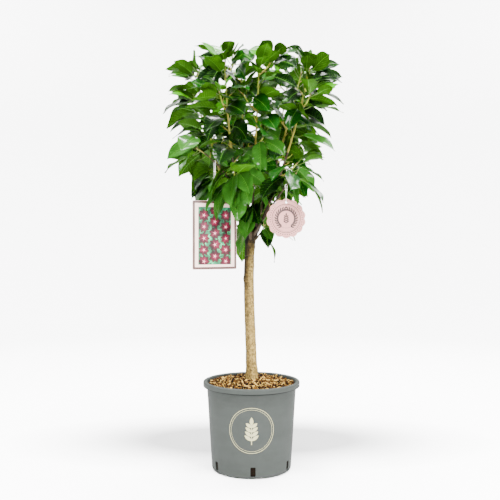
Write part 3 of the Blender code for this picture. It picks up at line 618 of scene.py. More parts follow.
class Mass:
    """The twigs and leaves of one mass, grown by the source's seeded rule from its stem."""

    def __init__(self, name, limb, space, guard, nets):
        self.name = name
        self.limb = limb
        self.space = space
        self.guard = guard
        self.nets = nets
        self.dice = random.Random(limb.seed)
        self.twigs = []
        self.wood = []
        self.leaves = []
        self.spurs = []
        self.add_wood(*limb_line(limb, limb.bare + GAP, limb.leafy - GAP, STEM_STEP))
        self.dress(self.twigs[0][0], 1.0)

    def add_wood(self, points, radii):
        """Keeps a twig, with a flat ribbon each way along it that stands for it in the tests."""
        self.twigs.append((points, radii))
        corners, faces = [], []
        for point, radius in zip(points, radii):
            for way in (Vector((radius, 0.0, 0.0)), Vector((0.0, radius, 0.0))):
                corners += [point + way, point - way]
        for k in range(len(points) - 1):
            for a, b in ((0, 1), (2, 3)):
                faces.append((4 * k + a, 4 * k + b, 4 * k + 4 + b, 4 * k + 4 + a))
        self.wood.append(BVHTree.FromPolygons(corners, faces))

    def dress(self, points, size):
        """Leaves spiral up a twig, in threes on spurs below and singly above, and end in a rosette."""
        limb = self.limb
        strong = limb.vigour == 1.0 and size == 1.0
        length = length_of(points)
        nodes = max(2, round(length / LEAF_SPACING))
        turn = self.dice.uniform(0.0, math.tau)
        for k in range(nodes):
            youth = limb.youth * k / nodes
            where, along = walk(points, length * (k + NODE_SHARE) / nodes)
            turn += GOLDEN_TURN
            if strong and k % TWIG_EVERY == 1:
                self.add_twig(where, along, turn + math.pi)
            spur = SPUR_LEAVES if strong and youth < SPUR_YOUTH else 1
            for j in range(spur):
                shift = j - 0.5 * (spur - 1)
                root = where + along * SPUR_STEP * shift
                self.add_leaf(root, along, turn + SPUR_TURN * shift, youth, size)
        tip, along = walk(points, length)
        for k in range(TUFT):
            turn += GOLDEN_TURN
            self.add_leaf(tip - along * TUFT_STEP * (k + 1), along, turn, limb.youth, size)

    def add_twig(self, root, along, turn):
        """A side twig that leaves the stem and turns up, with leaves of its own."""
        half = 0.5 * self.dice.uniform(*TWIG_LENGTHS)
        out = (side_ways(along, turn) + along * TWIG_ONWARD).normalized()
        upward = (out + UP * TWIG_UPWARD).normalized()
        points = [root, root + out * half, root + out * half + upward * half]
        if not all(self.space.holds(point) for point in points):
            return
        self.add_wood(points, TWIG_RADII)
        self.dress(points, TWIG_LEAF_SIZE)

    def add_leaf(self, root, along, turn, youth, size, woods=None):
        """Adds a leaf, turned about its twig if need be, or skips it where there is no room.

        A blade rolls its face outward from the tree by the whole tilt, and dips by only a share of it.
        """
        dice = self.dice
        size *= self.limb.size
        stalk = STALK_LENGTH * size * dice.uniform(*STALK_RANGE)
        blade = BLADE_LENGTH * size * lerp(1.0, YOUNG_SHARE, youth**3) * dice.uniform(*BLADE_RANGE)
        width = blade * BLADE_SHARE_WIDE * dice.uniform(*WIDTH_RANGE)
        rise = lerp(RISE_OLD, RISE_YOUNG, youth) + dice.gauss(0.0, RISE_SPREAD)
        droop = math.radians(dice.uniform(*DROOP_RANGE))
        tilt = lerp(TILT_OLD, TILT_YOUNG, youth)
        roll = math.radians(dice.choice((-1.0, 1.0)) * dice.uniform(*ROLL_RANGE))
        outward = Vector((root.x, root.y, 0.0)).normalized()
        facing = math.atan2(outward.y, outward.x)
        for shift in LEAF_TRIES:
            out = side_ways(along, turn + shift)
            out += along * lerp(*STALK_ONWARD, youth) + outward * STALK_OUTWARD
            heading = math.atan2(out.y, out.x)
            lift = math.asin(max(STALK_LIFTS[0], min(STALK_LIFTS[1], out.z / out.length)))
            blade_rise = rise - TILT_LEAN * tilt * math.cos(facing - heading)
            blade_roll = roll - tilt * math.sin(facing - heading)
            leaf = Leaf(root.copy(), heading, lift, blade_rise, droop, blade_roll, stalk, blade, width, youth)
            if self.fits(leaf, woods):
                self.leaves.append(leaf)
                self.nets.append(leaf_nets(leaf)[1])
                return True
        return False

    def fits(self, leaf, woods):
        """Whether a leaf has room. One with a list of all the woods may reach out of its mass's space."""
        sections, tip = leaf_sections(leaf)
        corners = [corner for section in sections for corner in section] + [tip]
        if woods is None and not all(self.space.holds(corner) for corner in corners):
            return False
        if woods and any(outgrows(corner) or hides_print(corner) for corner in corners):
            return False
        blade, whole = leaf_nets(leaf)
        if whole.overlap(self.guard) or any(blade.overlap(wood) for wood in woods or self.wood):
            return False
        return not any(whole.overlap(other) for other in self.nets)

    def refine(self, woods):
        """Carries the rule on: short spurs between the first leaves, each with a small leaf on it."""
        self.dice = random.Random(self.limb.seed + FINE_SEED)
        bough = limb_line(self.limb, BOUGH_BARE_SHARE * self.limb.bare, (1.0 - BOUGH_BARE_SHARE) * self.limb.bare,
                          STEM_STEP)[0]
        lines = [(bough, 0.0)] if self.limb.bare > FINE_BOUGH else []
        lines += [(points, self.limb.youth) for points, _ in self.twigs]
        for points, youth in lines:
            length = length_of(points)
            count = max(1, round(length / FINE_SPACING))
            turn = self.dice.uniform(0.0, math.tau)
            for k in range(count):
                share = (k + FINE_PLACE) / count
                where, along = walk(points, length * share)
                turn += GOLDEN_TURN
                out = (side_ways(along, turn) + along * TWIG_ONWARD).normalized()
                tip = where + out * self.dice.uniform(*FINE_REACH)
                if self.add_leaf(tip, along, turn, youth * share, FINE_SIZE, woods):
                    self.spurs.append((where, tip))


def grow_crown():
    """All the masses, each of which keeps clear of the leaves that are there before it."""
    guard = guard_tree()
    nets = []
    masses = [Mass(name, limb, Space(name), guard, nets) for name, limb in LIMBS.items()]
    woods = [wood for mass in masses for wood in mass.wood]
    for mass in masses:
        mass.refine(woods)
    return masses


CROWN = grow_crown()


def node_setup(name):
    """A new node material, its tree, its main shader and its object coordinates."""
    material = bpy.data.materials.new(name)
    material.use_nodes = True
    tree = material.node_tree
    shader = tree.nodes["Principled BSDF"]
    place = tree.nodes.new("ShaderNodeTexCoord").outputs["Object"]
    return material, tree, shader, place


def stretched(tree, place, stretch):
    """Coordinates scaled along each axis, so that a pattern is drawn out."""
    mapping = tree.nodes.new("ShaderNodeMapping")
    mapping.inputs["Scale"].default_value = stretch
    tree.links.new(place, mapping.inputs["Vector"])
    return mapping.outputs["Vector"]


def noise_of(tree, place, scale, detail=4.0, roughness=0.55):
    texture = tree.nodes.new("ShaderNodeTexNoise")
    texture.inputs["Scale"].default_value = scale
    texture.inputs["Detail"].default_value = detail
    texture.inputs["Roughness"].default_value = roughness
    tree.links.new(place, texture.inputs["Vector"])
    return texture.outputs["Fac"]


def ramp(tree, factor, stops):
    """Colours at places from 0 to 1 along a factor."""
    node = tree.nodes.new("ShaderNodeValToRGB")
    elements = node.color_ramp.elements
    while len(elements) < len(stops):
        elements.new(0.5)
    for element, (place, colour) in zip(elements, stops):
        element.position = place
        element.color = (*colour, 1.0)
    tree.links.new(factor, node.inputs["Fac"])
    return node.outputs["Color"]


def span(tree, factor, low, high):
    """A factor from 0 to 1 mapped to a range of values."""
    node = tree.nodes.new("ShaderNodeMapRange")
    node.inputs["To Min"].default_value = low
    node.inputs["To Max"].default_value = high
    tree.links.new(factor, node.inputs["Value"])
    return node.outputs["Result"]


def relief(tree, shader, height, depth, strength=1.0):
    """Adds a height pattern to the surface, depth in metres. Later calls lie on earlier ones."""
    bump = tree.nodes.new("ShaderNodeBump")
    bump.inputs["Distance"].default_value = depth
    bump.inputs["Strength"].default_value = strength
    tree.links.new(height, bump.inputs["Height"])
    normal = shader.inputs["Normal"]
    if normal.links:
        tree.links.new(normal.links[0].from_socket, bump.inputs["Normal"])
    tree.links.new(bump.outputs["Normal"], normal)


def shade(colour, factor):
    return tuple(min(1.0, part * factor) for part in colour)


def leaf_finish(name, colour, roughness, coat):
    """A waxy leaf face: slight mottling, fine cells between the veins, and a sheen from its wax."""
    material, tree, shader, place = node_setup(name)
    mottle = noise_of(tree, place, 55.0, 3.0)
    stops = ((0.25, shade(colour, 0.72)), (0.55, colour), (0.85, shade(colour, 1.30)))
    tree.links.new(ramp(tree, mottle, stops), shader.inputs["Base Color"])
    cells = tree.nodes.new("ShaderNodeTexVoronoi")
    cells.inputs["Scale"].default_value = 900.0
    tree.links.new(place, cells.inputs["Vector"])
    relief(tree, shader, cells.outputs["Distance"], 0.00012, 0.6)
    relief(tree, shader, noise_of(tree, place, 160.0), 0.0004, 0.5)
    patches = noise_of(tree, place, 120.0, 2.0)
    tree.links.new(span(tree, patches, roughness - 0.06, roughness + 0.10), shader.inputs["Roughness"])
    shader.inputs["Coat Weight"].default_value = coat
    shader.inputs["Coat Roughness"].default_value = 0.12
    shader.inputs["Specular IOR Level"].default_value = 0.05
    shader.inputs["Specular Tint"].default_value = (0.60, 1.0, 0.45, 1.0)
    return material


def bark_finish(name, light, dark, roughness, band_scale):
    """Bark with long streaks, bands across the stem and rows of pale pores."""
    material, tree, shader, place = node_setup(name)
    streaks = noise_of(tree, stretched(tree, place, (60.0, 60.0, 9.0)), 2.4, 6.0, 0.62)
    tree.links.new(ramp(tree, streaks, ((0.30, dark), (0.52, light), (0.80, shade(light, 1.25)))),
                   shader.inputs["Base Color"])
    bands = noise_of(tree, stretched(tree, place, (14.0, 14.0, band_scale)), 1.6, 5.0, 0.6)
    relief(tree, shader, bands, 0.0009, 0.7)
    pores = tree.nodes.new("ShaderNodeTexVoronoi")
    pores.inputs["Scale"].default_value = 1.0
    tree.links.new(stretched(tree, place, (170.0, 170.0, 420.0)), pores.inputs["Vector"])
    relief(tree, shader, pores.outputs["Distance"], 0.0005, 0.6)
    relief(tree, shader, streaks, 0.0007, 0.8)
    tree.links.new(span(tree, streaks, roughness - 0.1, roughness + 0.08), shader.inputs["Roughness"])
    shader.inputs["Specular IOR Level"].default_value = 0.2
    return material


def young_wood_finish(name, colour):
    """Smooth young bark with faint streaks and small pores."""
    material, tree, shader, place = node_setup(name)
    streaks = noise_of(tree, stretched(tree, place, (90.0, 90.0, 18.0)), 2.0, 4.0)
    stops = ((0.30, shade(colour, 0.70)), (0.55, colour), (0.85, shade(colour, 1.25)))
    tree.links.new(ramp(tree, streaks, stops), shader.inputs["Base Color"])
    relief(tree, shader, noise_of(tree, place, 480.0, 2.0), 0.0003, 0.5)
    shader.inputs["Roughness"].default_value = 0.48
    shader.inputs["Specular IOR Level"].default_value = 0.25
    return material


# A thin line of painted shade lies along the rim's lower edge, from a little below it to a little above it
RIM_SHADE_BELOW = 0.0035
RIM_SHADE_ABOVE = 0.0015
RIM_SHADE_TONES = ((0.0, (1.0, 1.0, 1.0)), (0.30, (0.18, 0.18, 0.18)), (0.80, (0.18, 0.18, 0.18)), (1.0, (1.0, 1.0, 1.0)))


def pot_finish(colour):
    """Matte moulded plastic: a fine grain, faint flow streaks round the wall, dusty scuffs low down and a band of
    painted shade along the rim's lower edge.
    """
    material, tree, shader, place = node_setup("pot_plastic")
    flow = noise_of(tree, stretched(tree, place, (5.0, 5.0, 28.0)), 1.5, 4.0)
    dust = noise_of(tree, place, 26.0, 8.0, 0.68)
    mixed = tree.nodes.new("ShaderNodeMix")
    mixed.data_type = "RGBA"
    mixed.blend_type = "MULTIPLY"
    mixed.inputs["Factor"].default_value = 0.55
    tree.links.new(ramp(tree, flow, ((0.3, shade(colour, 0.93)), (0.7, shade(colour, 1.06)))), mixed.inputs["A"])
    tree.links.new(ramp(tree, dust, ((0.35, (0.86, 0.85, 0.83)), (0.60, (1.0, 1.0, 1.0)))), mixed.inputs["B"])
    split = tree.nodes.new("ShaderNodeSeparateXYZ")
    tree.links.new(place, split.inputs["Vector"])
    # Painted shade: a dark band on the lip's lower edge and the wall just under it, where the lip shades the wall
    below = tree.nodes.new("ShaderNodeMapRange")
    below.inputs["From Min"].default_value = POT_HEIGHT - RIM_DEPTH - RIM_SHADE_BELOW
    below.inputs["From Max"].default_value = POT_HEIGHT - RIM_DEPTH + RIM_SHADE_ABOVE
    tree.links.new(split.outputs["Z"], below.inputs["Value"])
    rim_shade = ramp(tree, below.outputs["Result"], RIM_SHADE_TONES)
    tree.links.new(multiplied(tree, mixed.outputs["Result"], rim_shade, 1.0), shader.inputs["Base Color"])
    relief(tree, shader, noise_of(tree, place, 1500.0, 2.0), 0.00012, 0.5)
    relief(tree, shader, flow, 0.0005, 0.25)
    tree.links.new(span(tree, dust, 0.52, 0.70), shader.inputs["Roughness"])
    shader.inputs["Specular IOR Level"].default_value = 0.04
    return material


def chip_finish(name, colour):
    """A torn chip of bark: fibres along it, dark hollows and a rough face."""
    material, tree, shader, place = node_setup(name)
    grain = noise_of(tree, stretched(tree, place, (70.0, 260.0, 160.0)), 1.2, 6.0, 0.65)
    stops = ((0.28, shade(colour, 0.45)), (0.50, colour), (0.78, shade(colour, 1.35)))
    tree.links.new(ramp(tree, grain, stops), shader.inputs["Base Color"])
    relief(tree, shader, grain, 0.0012, 0.8)
    relief(tree, shader, noise_of(tree, place, 700.0, 2.0), 0.0004, 0.6)
    shader.inputs["Roughness"].default_value = 0.88
    shader.inputs["Specular IOR Level"].default_value = 0.06
    return material


def soil_finish():
    """Dark moist crumbs."""
    material, tree, shader, place = node_setup("potting_soil")
    crumbs = noise_of(tree, place, 240.0, 8.0, 0.7)
    stops = ((0.30, (0.001, 0.0006, 0.0003)), (0.55, (0.004, 0.0022, 0.0011)), (0.80, (0.013, 0.0075, 0.004)))
    tree.links.new(ramp(tree, crumbs, stops), shader.inputs["Base Color"])
    relief(tree, shader, crumbs, 0.0025, 0.9)
    shader.inputs["Roughness"].default_value = 0.95
    shader.inputs["Specular IOR Level"].default_value = 0.05
    return material


def paper_finish(name, colour, roughness=0.55, fibre=0.05):
    """Printed card: a flat tone with faint fibres in it."""
    material, tree, shader, place = node_setup(name)
    fibres = noise_of(tree, stretched(tree, place, (300.0, 300.0, 90.0)), 2.0, 5.0)
    stops = ((0.3, shade(colour, 1.0 - fibre)), (0.7, shade(colour, 1.0 + fibre)))
    tree.links.new(ramp(tree, fibres, stops), shader.inputs["Base Color"])
    relief(tree, shader, fibres, 0.00012, 0.5)
    tree.links.new(span(tree, fibres, roughness - 0.05, roughness + 0.08), shader.inputs["Roughness"])
    return material


def painted_finish(name, colour):
    """Glossy print with soft lighter and darker clouds of one colour."""
    material, tree, shader, place = node_setup(name)
    clouds = noise_of(tree, place, 70.0, 3.0)
    stops = ((0.36, shade(colour, 0.35)), (0.50, colour), (0.66, shade(colour, 2.1)))
    tree.links.new(ramp(tree, clouds, stops), shader.inputs["Base Color"])
    relief(tree, shader, noise_of(tree, place, 1400.0, 2.0), 0.00005, 0.4)
    shader.inputs["Roughness"].default_value = 0.32
    return material


def thread_finish(colour):
    """Twisted white thread with fine fluff."""
    material, tree, shader, place = node_setup("white_thread")
    fluff = noise_of(tree, place, 1800.0, 3.0)
    tree.links.new(ramp(tree, fluff, ((0.3, shade(colour, 0.85)), (0.7, colour))), shader.inputs["Base Color"])
    relief(tree, shader, fluff, 0.0002, 0.6)
    shader.inputs["Roughness"].default_value = 0.85
    return material


def gilt_finish(colour):
    """A pale gold print on plastic, worn a little."""
    material, tree, shader, place = node_setup("pale_gold_print")
    wear = noise_of(tree, place, 420.0, 5.0, 0.6)
    tree.links.new(ramp(tree, wear, ((0.3, shade(colour, 0.8)), (0.6, colour))), shader.inputs["Base Color"])
    tree.links.new(span(tree, wear, 0.30, 0.50), shader.inputs["Roughness"])
    relief(tree, shader, wear, 0.00008, 0.5)
    shader.inputs["Metallic"].default_value = 0.25
    return material


def inner_radius(height):
    """The radius of the pot's inside at a height."""
    share = (height - FOOT_ROUND) / (POT_HEIGHT - RIM_DEPTH - FOOT_ROUND)
    return lerp(FOOT_RADIUS, SHOULDER_RADIUS, share) - WALL


def turned(name, profile, segments):
    """A solid of revolution about Z, as a mesh with welded ends."""
    mesh = bpy.data.meshes.new(name)
    points = [(radius, 0.0, height) for radius, height in profile]
    mesh.from_pydata(points, [(k, k + 1) for k in range(len(points) - 1)], [])
    obj = bpy.data.objects.new(name, mesh)
    bpy.context.scene.collection.objects.link(obj)
    screw = obj.modifiers.new("turn", "SCREW")
    screw.steps = screw.render_steps = segments
    screw.use_merge_vertices = True
    screw.merge_threshold = 0.00001
    return baked(obj)


def baked(obj):
    """The mesh that an object evaluates to, welded. The object is removed."""
    bpy.context.view_layer.update()
    graph = bpy.context.evaluated_depsgraph_get()
    mesh = bpy.data.meshes.new_from_object(obj.evaluated_get(graph))
    mesh.transform(obj.matrix_world)
    bm = bmesh.new()
    bm.from_mesh(mesh)
    bmesh.ops.remove_doubles(bm, verts=bm.verts, dist=1e-6)
    bmesh.ops.recalc_face_normals(bm, faces=bm.faces)
    bm.to_mesh(mesh)
    bm.free()
    bpy.data.objects.remove(obj)
    return mesh


def pot_profile():
    """The wall's section, from the middle of the floor up the inside, over the rim and down outside."""
    rim_top = POT_HEIGHT - RIM_ROUND
    lip_in = RIM_RADIUS - WALL
    lip_low = POT_HEIGHT - RIM_DEPTH
    edge = 0.0006
    profile = [(0.0, FLOOR), (FOOT_RADIUS - WALL - FOOT_ROUND, FLOOR)]
    profile += [(inner_radius(FLOOR + FOOT_ROUND), FLOOR + FOOT_ROUND)]
    profile += [(inner_radius(rim_top), rim_top)]
    profile += arc((inner_radius(rim_top) + RIM_ROUND, rim_top), RIM_ROUND, 180, 90, 6)[1:]
    profile += arc((RIM_RADIUS - RIM_ROUND, rim_top), RIM_ROUND, 90, 0, 8)
    profile += [(RIM_RADIUS, lip_low + edge)]
    profile += arc((RIM_RADIUS - edge, lip_low + edge), edge, 0, -90, 3)[1:]
    profile += arc((lip_in + edge, lip_low + edge), edge, -90, -180, 3)
    profile += [(lip_in, rim_top - edge), (inner_radius(rim_top) + WALL, rim_top - edge)]
    profile += [(FOOT_RADIUS, FOOT_ROUND)]
    profile += arc((FOOT_RADIUS - FOOT_ROUND, FOOT_ROUND), FOOT_ROUND, 0, -90, 8)[1:]
    profile += [(FOOT_RADIUS - 2.5 * FOOT_ROUND, 0.0), (0.0, 0.0)]
    return profile


def make_pot(settings):
    """The pot's turned wall, cut through by its drainage slots."""
    pot = new_piece("pot_wall", turned("pot_wall", pot_profile(), POT_SEGMENTS), pot_finish(settings.pot_colour))
    for k in range(SLOT_COUNT):
        heading = math.radians(SLOT_HEADING + 360.0 * k / SLOT_COUNT)
        middle = pointing(heading, 0.0) * FOOT_RADIUS
        middle.z = 0.5 * (SLOT_BOTTOM + SLOT_TOP)
        bpy.ops.mesh.primitive_cube_add(size=1.0, location=middle)
        cutter = bpy.context.object
        cutter.rotation_euler.z = heading
        cutter.scale = (SLOT_DEPTH, SLOT_WIDTH, SLOT_TOP - SLOT_BOTTOM)
        rounding = cutter.modifiers.new("round", "BEVEL")
        rounding.width = 0.12
        rounding.segments = 4
        rounding.affect = "EDGES"
        cut = pot.modifiers.new("slot", "BOOLEAN")
        cut.operation = "DIFFERENCE"
        cut.object = cutter
        bpy.context.view_layer.update()
        graph = bpy.context.evaluated_depsgraph_get()
        mesh = bpy.data.meshes.new_from_object(pot.evaluated_get(graph))
        pot.modifiers.remove(cut)
        pot.data = mesh
        bpy.data.objects.remove(cutter)
    pot.data.shade_smooth()
    pot.data.set_sharp_from_angle(angle=math.radians(40))
    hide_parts("pot")


def on_pot(across, up):
    """A point of the pot's wall, from distances along it from the print's middle."""
    height = PRINT_MIDDLE + up
    radius = inner_radius(height) + WALL + PRINT_HEIGHT
    turn = PRINT_HEADING + across / radius
    return Vector((math.cos(turn) * radius, math.sin(turn) * radius, height))


PRINT_MIDDLE = 0.117
PRINT_HEADING = math.radians(-90.0)
PRINT_RADIUS = 0.054


def flat_ring(radius, width, steps, place):
    """A flat ring of print, laid on a surface by place."""
    points, faces = [], []
    for k in range(steps):
        turn = math.tau * k / steps
        for reach in (radius - 0.5 * width, radius + 0.5 * width):
            points.append(place(reach * math.cos(turn), reach * math.sin(turn)))
    for k in range(steps):
        n = (k + 1) % steps
        faces.append((2 * k, 2 * k + 1, 2 * n + 1, 2 * n))
    return points, faces


def flat_leaf(root, heading, length, width, place, steps=8):
    """A pointed leaf of print, laid on a surface by place."""
    points, faces = [], []
    ahead = (math.cos(heading), math.sin(heading))
    for k in range(steps + 1):
        share = k / steps
        half = 0.5 * width * math.sin(math.pi * share) ** 0.8 if 0 < k < steps else 0.0002
        x, y = root[0] + ahead[0] * length * share, root[1] + ahead[1] * length * share
        points.append(place(x - ahead[1] * half, y + ahead[0] * half))
        points.append(place(x + ahead[1] * half, y - ahead[0] * half))
    for k in range(steps):
        faces.append((2 * k, 2 * k + 1, 2 * k + 3, 2 * k + 2))
    return points, faces


def flat_line(start, end, width, place, steps=12):
    """A straight stroke of print, laid on a surface by place."""
    across, up = end[0] - start[0], end[1] - start[1]
    length = math.hypot(across, up)
    side = (-up / length * 0.5 * width, across / length * 0.5 * width)
    points, faces = [], []
    for k in range(steps + 1):
        x, y = start[0] + across * k / steps, start[1] + up * k / steps
        points += [place(x + side[0], y + side[1]), place(x - side[0], y - side[1])]
    for k in range(steps):
        faces.append((2 * k, 2 * k + 1, 2 * k + 3, 2 * k + 2))
    return points, faces


def sprig(heap, size, place):
    """A plain upright sprig: a stroke with pairs of leaves along it and one leaf at its top."""
    heap.add(*flat_line((0.0, -size), (0.0, 0.45 * size), 0.05 * size, place))
    heap.add(*flat_leaf((0.0, 0.35 * size), math.pi / 2, 0.60 * size, 0.26 * size, place))
    for k in range(4):
        up = lerp(-0.72, 0.22, k / 3) * size
        reach = lerp(0.62, 0.50, k / 3) * size
        for side in (-1.0, 1.0):
            heading = math.pi / 2 - side * math.radians(52)
            heap.add(*flat_leaf((0.0, up), heading, reach, 0.24 * size, place))


def make_pot_print(settings):
    """A plain double ring round a sprig, printed on the front of the pot."""
    heap = Heap()
    heap.add(*flat_ring(PRINT_RADIUS, 0.0010, 96, on_pot))
    heap.add(*flat_ring(0.92 * PRINT_RADIUS, 0.0006, 96, on_pot))
    sprig(heap, 0.62 * PRINT_RADIUS, on_pot)
    piece = heap.piece("pot_print", gilt_finish(settings.print_colour))


def bark_height(radius):
    """The top of the bark bed: flat round the trunk, then falling to the pot's wall."""
    reach = inner_radius(BARK_EDGE) - BARK_FLAT_RADIUS
    share = min(max((radius - BARK_FLAT_RADIUS) / reach, 0.0), 1.0)
    return lerp(BARK_CROWN, BARK_EDGE, 0.5 - 0.5 * math.cos(math.pi * share))


CHIP_CORNERS = (5, 7)


def chip(dice, middle, length):
    """One torn chip: an uneven slab with a jagged outline, tilted at random on the bed."""
    corners = dice.randint(*CHIP_CORNERS)
    width = length * dice.uniform(0.15, 0.38)
    thick = length * dice.uniform(0.10, 0.24)
    bow = dice.uniform(-0.15, 0.15) * length
    rim = []
    for k in range(corners):
        turn = math.tau * (k + dice.uniform(-0.3, 0.3)) / corners
        reach = dice.uniform(0.78, 1.12)
        rim.append((0.5 * length * reach * math.cos(turn), 0.5 * width * reach * math.sin(turn)))
    tilt = Matrix.Rotation(dice.uniform(0.0, math.tau), 3, "Z")
    tilt = tilt @ Matrix.Rotation(dice.gauss(0.0, 0.5), 3, "X") @ Matrix.Rotation(dice.gauss(0.0, 0.5), 3, "Y")
    points = []
    for level, shrink in ((-0.5, 0.88), (0.1, 1.0), (0.5, 0.86)):
        for x, y in rim:
            z = level * thick * dice.uniform(0.75, 1.2) + bow * (x / length) ** 2
            points.append(middle + tilt @ Vector((x * shrink, y * shrink, z)))
    points.append(middle + tilt @ Vector((0.0, 0.0, 0.56 * thick)))
    faces = [tuple(range(corners))[::-1]]
    for ring in (0, corners):
        for k in range(corners):
            n = (k + 1) % corners
            faces.append((ring + k, ring + n, ring + corners + n, ring + corners + k))
    faces += [(2 * corners + k, 2 * corners + (k + 1) % corners, 3 * corners) for k in range(corners)]
    return points, faces


def make_bed(settings):
    """The soil, the fine bed between the chips, darker than any chip, and the chips themselves in four tints."""
    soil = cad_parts["soil"]
    soil.data.materials.clear()
    soil.data.materials.append(soil_finish())
    rings, turns = 26, 96
    edge = inner_radius(BARK_EDGE) - GAP
    points, faces = [Vector((0.0, 0.0, BARK_CROWN - 0.004))], []
    for k in range(1, rings + 1):
        radius = edge * k / rings
        for j in range(turns):
            turn = math.tau * j / turns
            at = Vector((radius * math.cos(turn), radius * math.sin(turn), 0.0))
            at.z = bark_height(radius) - 0.0045 + 0.0022 * noise.noise(at * 160.0)
            points.append(at)
    faces += [(0, 1 + j, 1 + (j + 1) % turns) for j in range(turns)]
    for k in range(rings - 1):
        for j in range(turns):
            n = (j + 1) % turns
            a, b = 1 + k * turns, 1 + (k + 1) * turns
            faces.append((a + j, b + j, b + n, a + n))
    bed = Heap()
    bed.add(points, faces)
    # The bed's tone is partly the dark crumbs' own colour and partly painted shade in the gaps between the chips
    floor = bed.piece("bark_bed", chip_finish("bark_crumbs_gap_shade", shade(settings.chip_dark, 0.6)))
    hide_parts("bark_chips")
    dice = random.Random(71)
    tints = [("pale", settings.chip_pale, 5), ("tan", settings.chip_tan, 6), ("brown", settings.chip_brown, 6),
             ("dark", settings.chip_dark, 6)]
    heaps = {name: Heap() for name, _, _ in tints}
    names = [name for name, _, weight in tints for _ in range(weight)]
    for k in range(settings.chip_count):
        length = dice.uniform(*CHIP_LENGTHS) * dice.choice((0.7, 1.0, 1.0, 1.25))
        reach = (edge - 0.42 * length) * math.sqrt(dice.random())
        turn = dice.uniform(0.0, math.tau)
        if reach < STEM_RADIUS_LOW + FOOT_FLARE + 0.3 * length:
            continue
        height = bark_height(reach) - CHIP_SINK - 0.1 * length + dice.uniform(0.0, CHIP_PILE)
        middle = Vector((reach * math.cos(turn), reach * math.sin(turn), height))
        heaps[dice.choice(names)].add(*chip(dice, middle, length))
    for name, colour, _ in tints:
        piece = heaps[name].piece(f"chips_{name}", chip_finish(f"bark_chip_{name}", colour), smooth=False)
        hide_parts("bark_chips")


CHIP_LENGTHS = (0.008, 0.020)
CHIP_SINK = 0.0005
CHIP_PILE = 0.0050

# Knots, scars and lumps of the trunk: height, compass, how far they stand out, and their spread
TRUNK_LUMPS = (
    (0.442, 262, 0.0008, 0.0045), (0.381, 285, 0.0009, 0.0040), (0.351, 292, 0.0007, 0.0035),
    (0.469, 182, 0.0016, 0.0060), (0.2416, 2, 0.0018, 0.0070), (0.305, 95, 0.0012, 0.0050),
    (0.410, 60, 0.0012, 0.0055), (0.500, 20, 0.0010, 0.0050), (0.332, 170, 0.0008, 0.0040),
    (0.556, 250, 0.0026, 0.0080), (0.548, 330, 0.0022, 0.0075), (0.566, 150, 0.0026, 0.0085),
    (0.575, 40, 0.0024, 0.0080), (0.585, 285, 0.0022, 0.0070), (0.590, 200, 0.0022, 0.0070),
    (0.538, 100, 0.0016, 0.0060), (0.596, 110, 0.0018, 0.0060),
)
TRUNK_RINGS = ((0.526, 0.0010, 0.0012), (0.397, 0.0004, 0.0010), (0.352, 0.0004, 0.0010), (0.289, 0.0005, 0.0012))

SCAR_RISE = 0.0006
TRUNK_SCARS = (
    (0.4415, 266, 0.0022, 0.0015), (0.381, 285, 0.0024, 0.0016), (0.351, 291, 0.0020, 0.0013),
    (0.469, 184, 0.0026, 0.0018), (0.305, 95, 0.0028, 0.0020), (0.410, 60, 0.0026, 0.0018),
    (0.500, 20, 0.0022, 0.0016), (0.332, 170, 0.0020, 0.0014), (0.262, 250, 0.0014, 0.0010),
    (0.284, 300, 0.0012, 0.0009), (0.243, 275, 0.0013, 0.0009), (0.427, 140, 0.0022, 0.0016),
)


def trunk_relief(turn, point):
    """How far the bark stands out of the trunk's round at a place."""
    out = 0.0
    for height, compass, rise, spread in TRUNK_LUMPS:
        away = (turn - math.radians(compass) + math.pi) % math.tau - math.pi
        flat = away * STEM_RADIUS_LOW
        out += rise * math.exp(-(flat * flat + (point.z - height) ** 2) / (spread * spread))
    for height, depth, spread in TRUNK_RINGS:
        dip = (point.z - height - 0.0008 * math.sin(3 * turn)) / spread
        out -= depth * math.exp(-dip * dip)
    around = Vector((math.cos(turn), math.sin(turn), 0.0))
    out += 0.00045 * noise.noise(Vector((around.x * 2.2, around.y * 2.2, point.z * 46.0)))
    out += 0.00030 * noise.noise(Vector((around.x * 6.0, around.y * 6.0, point.z * 260.0)))
    head = math.exp(-(((point.z - HEAD_HEIGHT) / (1.8 * HEAD_SPREAD)) ** 2))
    out += head * 0.0016 * noise.noise(Vector((around.x * 2.6, around.y * 2.6, point.z * 120.0)))
    foot = math.exp(-(point.z - TRUNK_FOOT) / FLARE_FADE)
    return out + foot * 0.0012 * math.cos(5 * turn + 1.0)


# Painted shade and light: the bark is darker on the side turned away from the light at the right front and lighter on
# the side facing it, more strongly higher up
PAINTED_LIGHT_SIDE = (0.93, -0.37, 0.0)
PAINTED_SHADE_TONES = (
    (0.26, (0.12, 0.10, 0.07)), (0.56, (0.42, 0.39, 0.34)), (0.70, (0.98, 0.98, 0.96)), (0.86, (1.18, 1.18, 1.14)))
PAINTED_SHADE_HEIGHTS = ((0.35, (0.50, 0.50, 0.50)), (0.55, (0.70, 0.70, 0.70)), (0.68, (1.0, 1.0, 1.0)))


def multiplied(tree, colour, tone, weight):
    """A colour times a tone, by a weight that is a number or a socket."""
    mixed = tree.nodes.new("ShaderNodeMix")
    mixed.data_type = "RGBA"
    mixed.blend_type = "MULTIPLY"
    mixed.clamp_result = True
    if isinstance(weight, float):
        mixed.inputs["Factor"].default_value = weight
    else:
        tree.links.new(weight, mixed.inputs["Factor"])
    tree.links.new(colour, mixed.inputs["A"])
    tree.links.new(tone, mixed.inputs["B"])
    return mixed.outputs["Result"]


